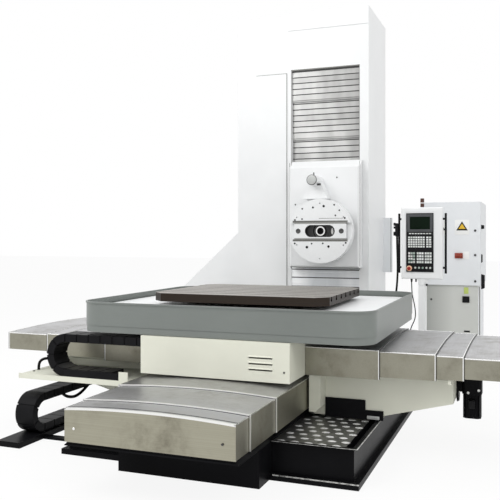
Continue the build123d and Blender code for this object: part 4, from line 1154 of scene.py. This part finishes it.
# rounded fold where each cover's top meets its skirts, in bright steel as a painted highlight
folds = {"radius": 0.0042, "sink": 0.0030, "sides": 10, "edge": 0.0008, "lipRise": 0.002,
         "reachSlack": 0.0006}


def makeFolds():
    for name in frame["nodes"]:
        cover = coverRow(name)
        if not cover:
            continue
        low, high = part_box(name)
        along = cover[0]
        middle, half, eave = coverProfile(name)
        beads = []
        for sign in (-1, 1):
            place = [0.0, 0.0, eave - folds["sink"]]
            place[along] = (low[along] + high[along]) / 2
            place[1 - along] = middle + sign * (half - folds["sink"])
            bead = startRound(f"fold{sign}", place, folds["radius"], high[along] - low[along],
                              "xy"[along], folds["sides"])
            roundOff(bead, folds["edge"], 1)
            beads.append(bead)
        fit(unite(beads, f"fold.{name}"), frame["nodes"][name]["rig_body"], "brightSteel", "stainless")


# plugs on the front cover
coverPlugs = {
    "bright": {"place": (-0.4688, -1.845, 0.3936), "radius": 0.0085, "depth": 0.006, "sides": 20},
    "dark": {"place": (0.459, -1.845, 0.3971), "radius": 0.0068, "depth": 0.006, "sides": 20},
    "brightEdge": 0.002, "darkRim": (0.0015, -0.002),
}


def makeCoverPlugs():
    plug = startRound("brightPlug", **coverPlugs["bright"])
    fit(plug, "bed", "brightSteel", "bare_steel", coverPlugs["brightEdge"], 3)
    hole = startRound("darkPlug", **coverPlugs["dark"])
    inset(hole, looking("y", -1), *coverPlugs["darkRim"])
    fit(hole, "bed", "darkSteel", "bare_steel")


# louvres in the front box: a pressed hood above each opening
louvres = {
    "x": (0.259, 0.424), "heights": (0.707, 0.668, 0.629), "frontY": -0.945, "opening": 0.011,
    "hood": 0.0045, "side": 0.003, "sink": 0.001, "rise": 0.008, "taper": (0.97, 0.35, 1.0), "edge": 0.0012,
    "screw": {"place": (0.504, -0.9460, 0.6225), "radius": 0.0065, "rise": 0.004},
}


def makeLouvres():
    hoods = []
    x0, x1 = louvres["x"]
    front, sink, reach = louvres["frontY"], louvres["sink"], louvres["hood"]
    for index, height in enumerate(louvres["heights"]):
        top = height + louvres["opening"] / 2
        hood = startCube(f"louvre{index}", (x0 - louvres["side"], front - reach, top - sink),
                         (x1 + louvres["side"], front + sink, top + louvres["rise"]))
        narrow(hood, looking("z", 1), louvres["taper"])
        for v in hood.data.vertices:       # the hood's upper edge lies on the box's front
            if v.co.z > top + louvres["rise"] / 2:
                v.co.y = front + (sink if v.co.y > front - reach / 2 else -sink)
        roundOff(hood, louvres["edge"])
        hoods.append(hood)
    fit(unite(hoods, "louvreHoods"), "cross_slide", "creamPaint", "cream_paint")
    fit(capScrew("boxScrew", **louvres["screw"]), "cross_slide", "darkSteel", "bare_steel")


# cables and hoses: points in metres, the first one where it leaves the object
cables = {
    "pendantCable": {
        "body": "pendant", "diameter": 0.010,
        "points": [(0.898, 1.812, 1.056), (0.899, 1.812, 1.010), (0.903, 1.810, 0.930),
                   (0.934, 1.806, 0.800), (0.938, 1.802, 0.700), (0.888, 1.800, 0.600),
                   (0.870, 1.800, 0.480), (0.880, 1.792, 0.330), (0.905, 1.800, 0.190),
                   (0.925, 1.810, 0.090), (0.930, 1.812, 0.019)],
    },
    "handControlHose": {
        "body": "pendant", "diameter": 0.020,
        "points": [(0.757, 1.811, 1.500), (0.757, 1.811, 1.440), (0.760, 1.811, 1.340),
                   (0.764, 1.812, 1.180), (0.758, 1.814, 1.040), (0.742, 1.818, 0.900),
                   (0.735, 1.826, 0.740), (0.752, 1.838, 0.560), (0.794, 1.852, 0.380),
                   (0.850, 1.862, 0.210), (0.886, 1.866, 0.090), (0.892, 1.866, 0.019)],
    },
    "shelfHose": {
        "body": "saddle", "diameter": 0.021,
        "points": [(-1.535, -0.755, 0.477), (-1.537, -0.754, 0.512), (-1.534, -0.738, 0.543),
                   (-1.522, -0.700, 0.556), (-1.507, -0.650, 0.548), (-1.495, -0.600, 0.527),
                   (-1.489, -0.540, 0.508), (-1.488, -0.480, 0.500), (-1.488, -0.431, 0.498)],
    },
    "chainLoop": {
        "body": "z_chain_loop", "diameter": 0.024,
        "points": [(-1.425, -0.605, 0.274), (-1.421, -0.580, 0.252), (-1.416, -0.525, 0.230),
                   (-1.414, -0.459, 0.220), (-1.414, -0.395, 0.229), (-1.417, -0.325, 0.249),
                   (-1.423, -0.260, 0.274)],
    },
}


def splineLength(curve):
    depsgraph = bpy.context.evaluated_depsgraph_get()
    mesh = bpy.data.meshes.new_from_object(curve.evaluated_get(depsgraph))
    total = sum((mesh.vertices[edge.vertices[0]].co - mesh.vertices[edge.vertices[1]].co).length
                for edge in mesh.edges)
    bpy.data.meshes.remove(mesh)
    return total


def makeCables():
    for name, cable in cables.items():
        data = bpy.data.curves.new(name, "CURVE")
        data.dimensions = "3D"
        data.resolution_u = 12
        spline = data.splines.new("NURBS")
        spline.points.add(len(cable["points"]) - 1)
        for point, place in zip(spline.points, cable["points"]):
            point.co = place + (1.0,)
        spline.order_u = 3
        spline.use_endpoint_u = True
        curve = bpy.data.objects.new(name, data)
        bpy.context.scene.collection.objects.link(curve)
        length = splineLength(curve)
        data.bevel_depth = cable["diameter"] / 2
        data.bevel_resolution = 4
        data.use_fill_caps = True
        data.materials.append(finishes["hoseRubber"])
        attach(curve, cable["body"])
        print("cable", name, round(length, 3), "m")


def makeFloor():
    bpy.ops.mesh.primitive_plane_add(size=studio["floorSize"], location=(0, 0, studio["floorZ"]))
    floor = bpy.context.object
    floor.name = "studioFloor"
    finish = Finish("floorPaint", Base_Color=studio["floorColour"], Roughness=studio["floorRoughness"])
    glow = finish.node("ShaderNodeEmission", None, {"Color": studio["white"], "Strength": 1.0})
    plain = Signal(finish, finish.shader.outputs[0])
    share = finish.rays("Camera", "Glossy") * studio["floorGlow"]
    mix = finish.node("ShaderNodeMixShader", None, {0: share, 1: plain, 2: glow})
    finish.plug(finish.tree.nodes["Material Output"].inputs["Surface"], mix)
    floor.data.materials.append(finish.material)


def makeWorld():               # white where it is seen, itself or in a mirror, and dimmer as a light
    world = bpy.data.worlds.new("studioWorld")
    bpy.context.scene.world = world
    world.use_nodes = True
    sky = Nodes(world.node_tree)
    seen = sky.rays("Camera", "Glossy", "Transmission")
    strength = sky.node("ShaderNodeMapRange", None,
                        {"Value": seen, "To Min": studio["worldLight"], "To Max": 1.0})
    background = world.node_tree.nodes["Background"]
    sky.plug(background.inputs["Color"], studio["white"])
    sky.plug(background.inputs["Strength"], strength)


makeCamera()
finishes = makeFinishes()
makeCables()
finishNodes()
print("finishes made")
makePanel()
makePendantExtras()
print("pendant dressed")
makeCabinetFittings()
print("cabinet dressed")
makeDiscFace()
makeNoseEnd()
makeColumnLines()
print("head dressed")
makeTreads()
makeMotorFittings()
makeShelfFittings()
makeFolds()
makeCoverPlugs()
makeLouvres()
print("saddle, bed and covers dressed")
makeWorld()
makeLamps()
makeFloor()
bpy.context.scene.view_settings.view_transform = "Standard"
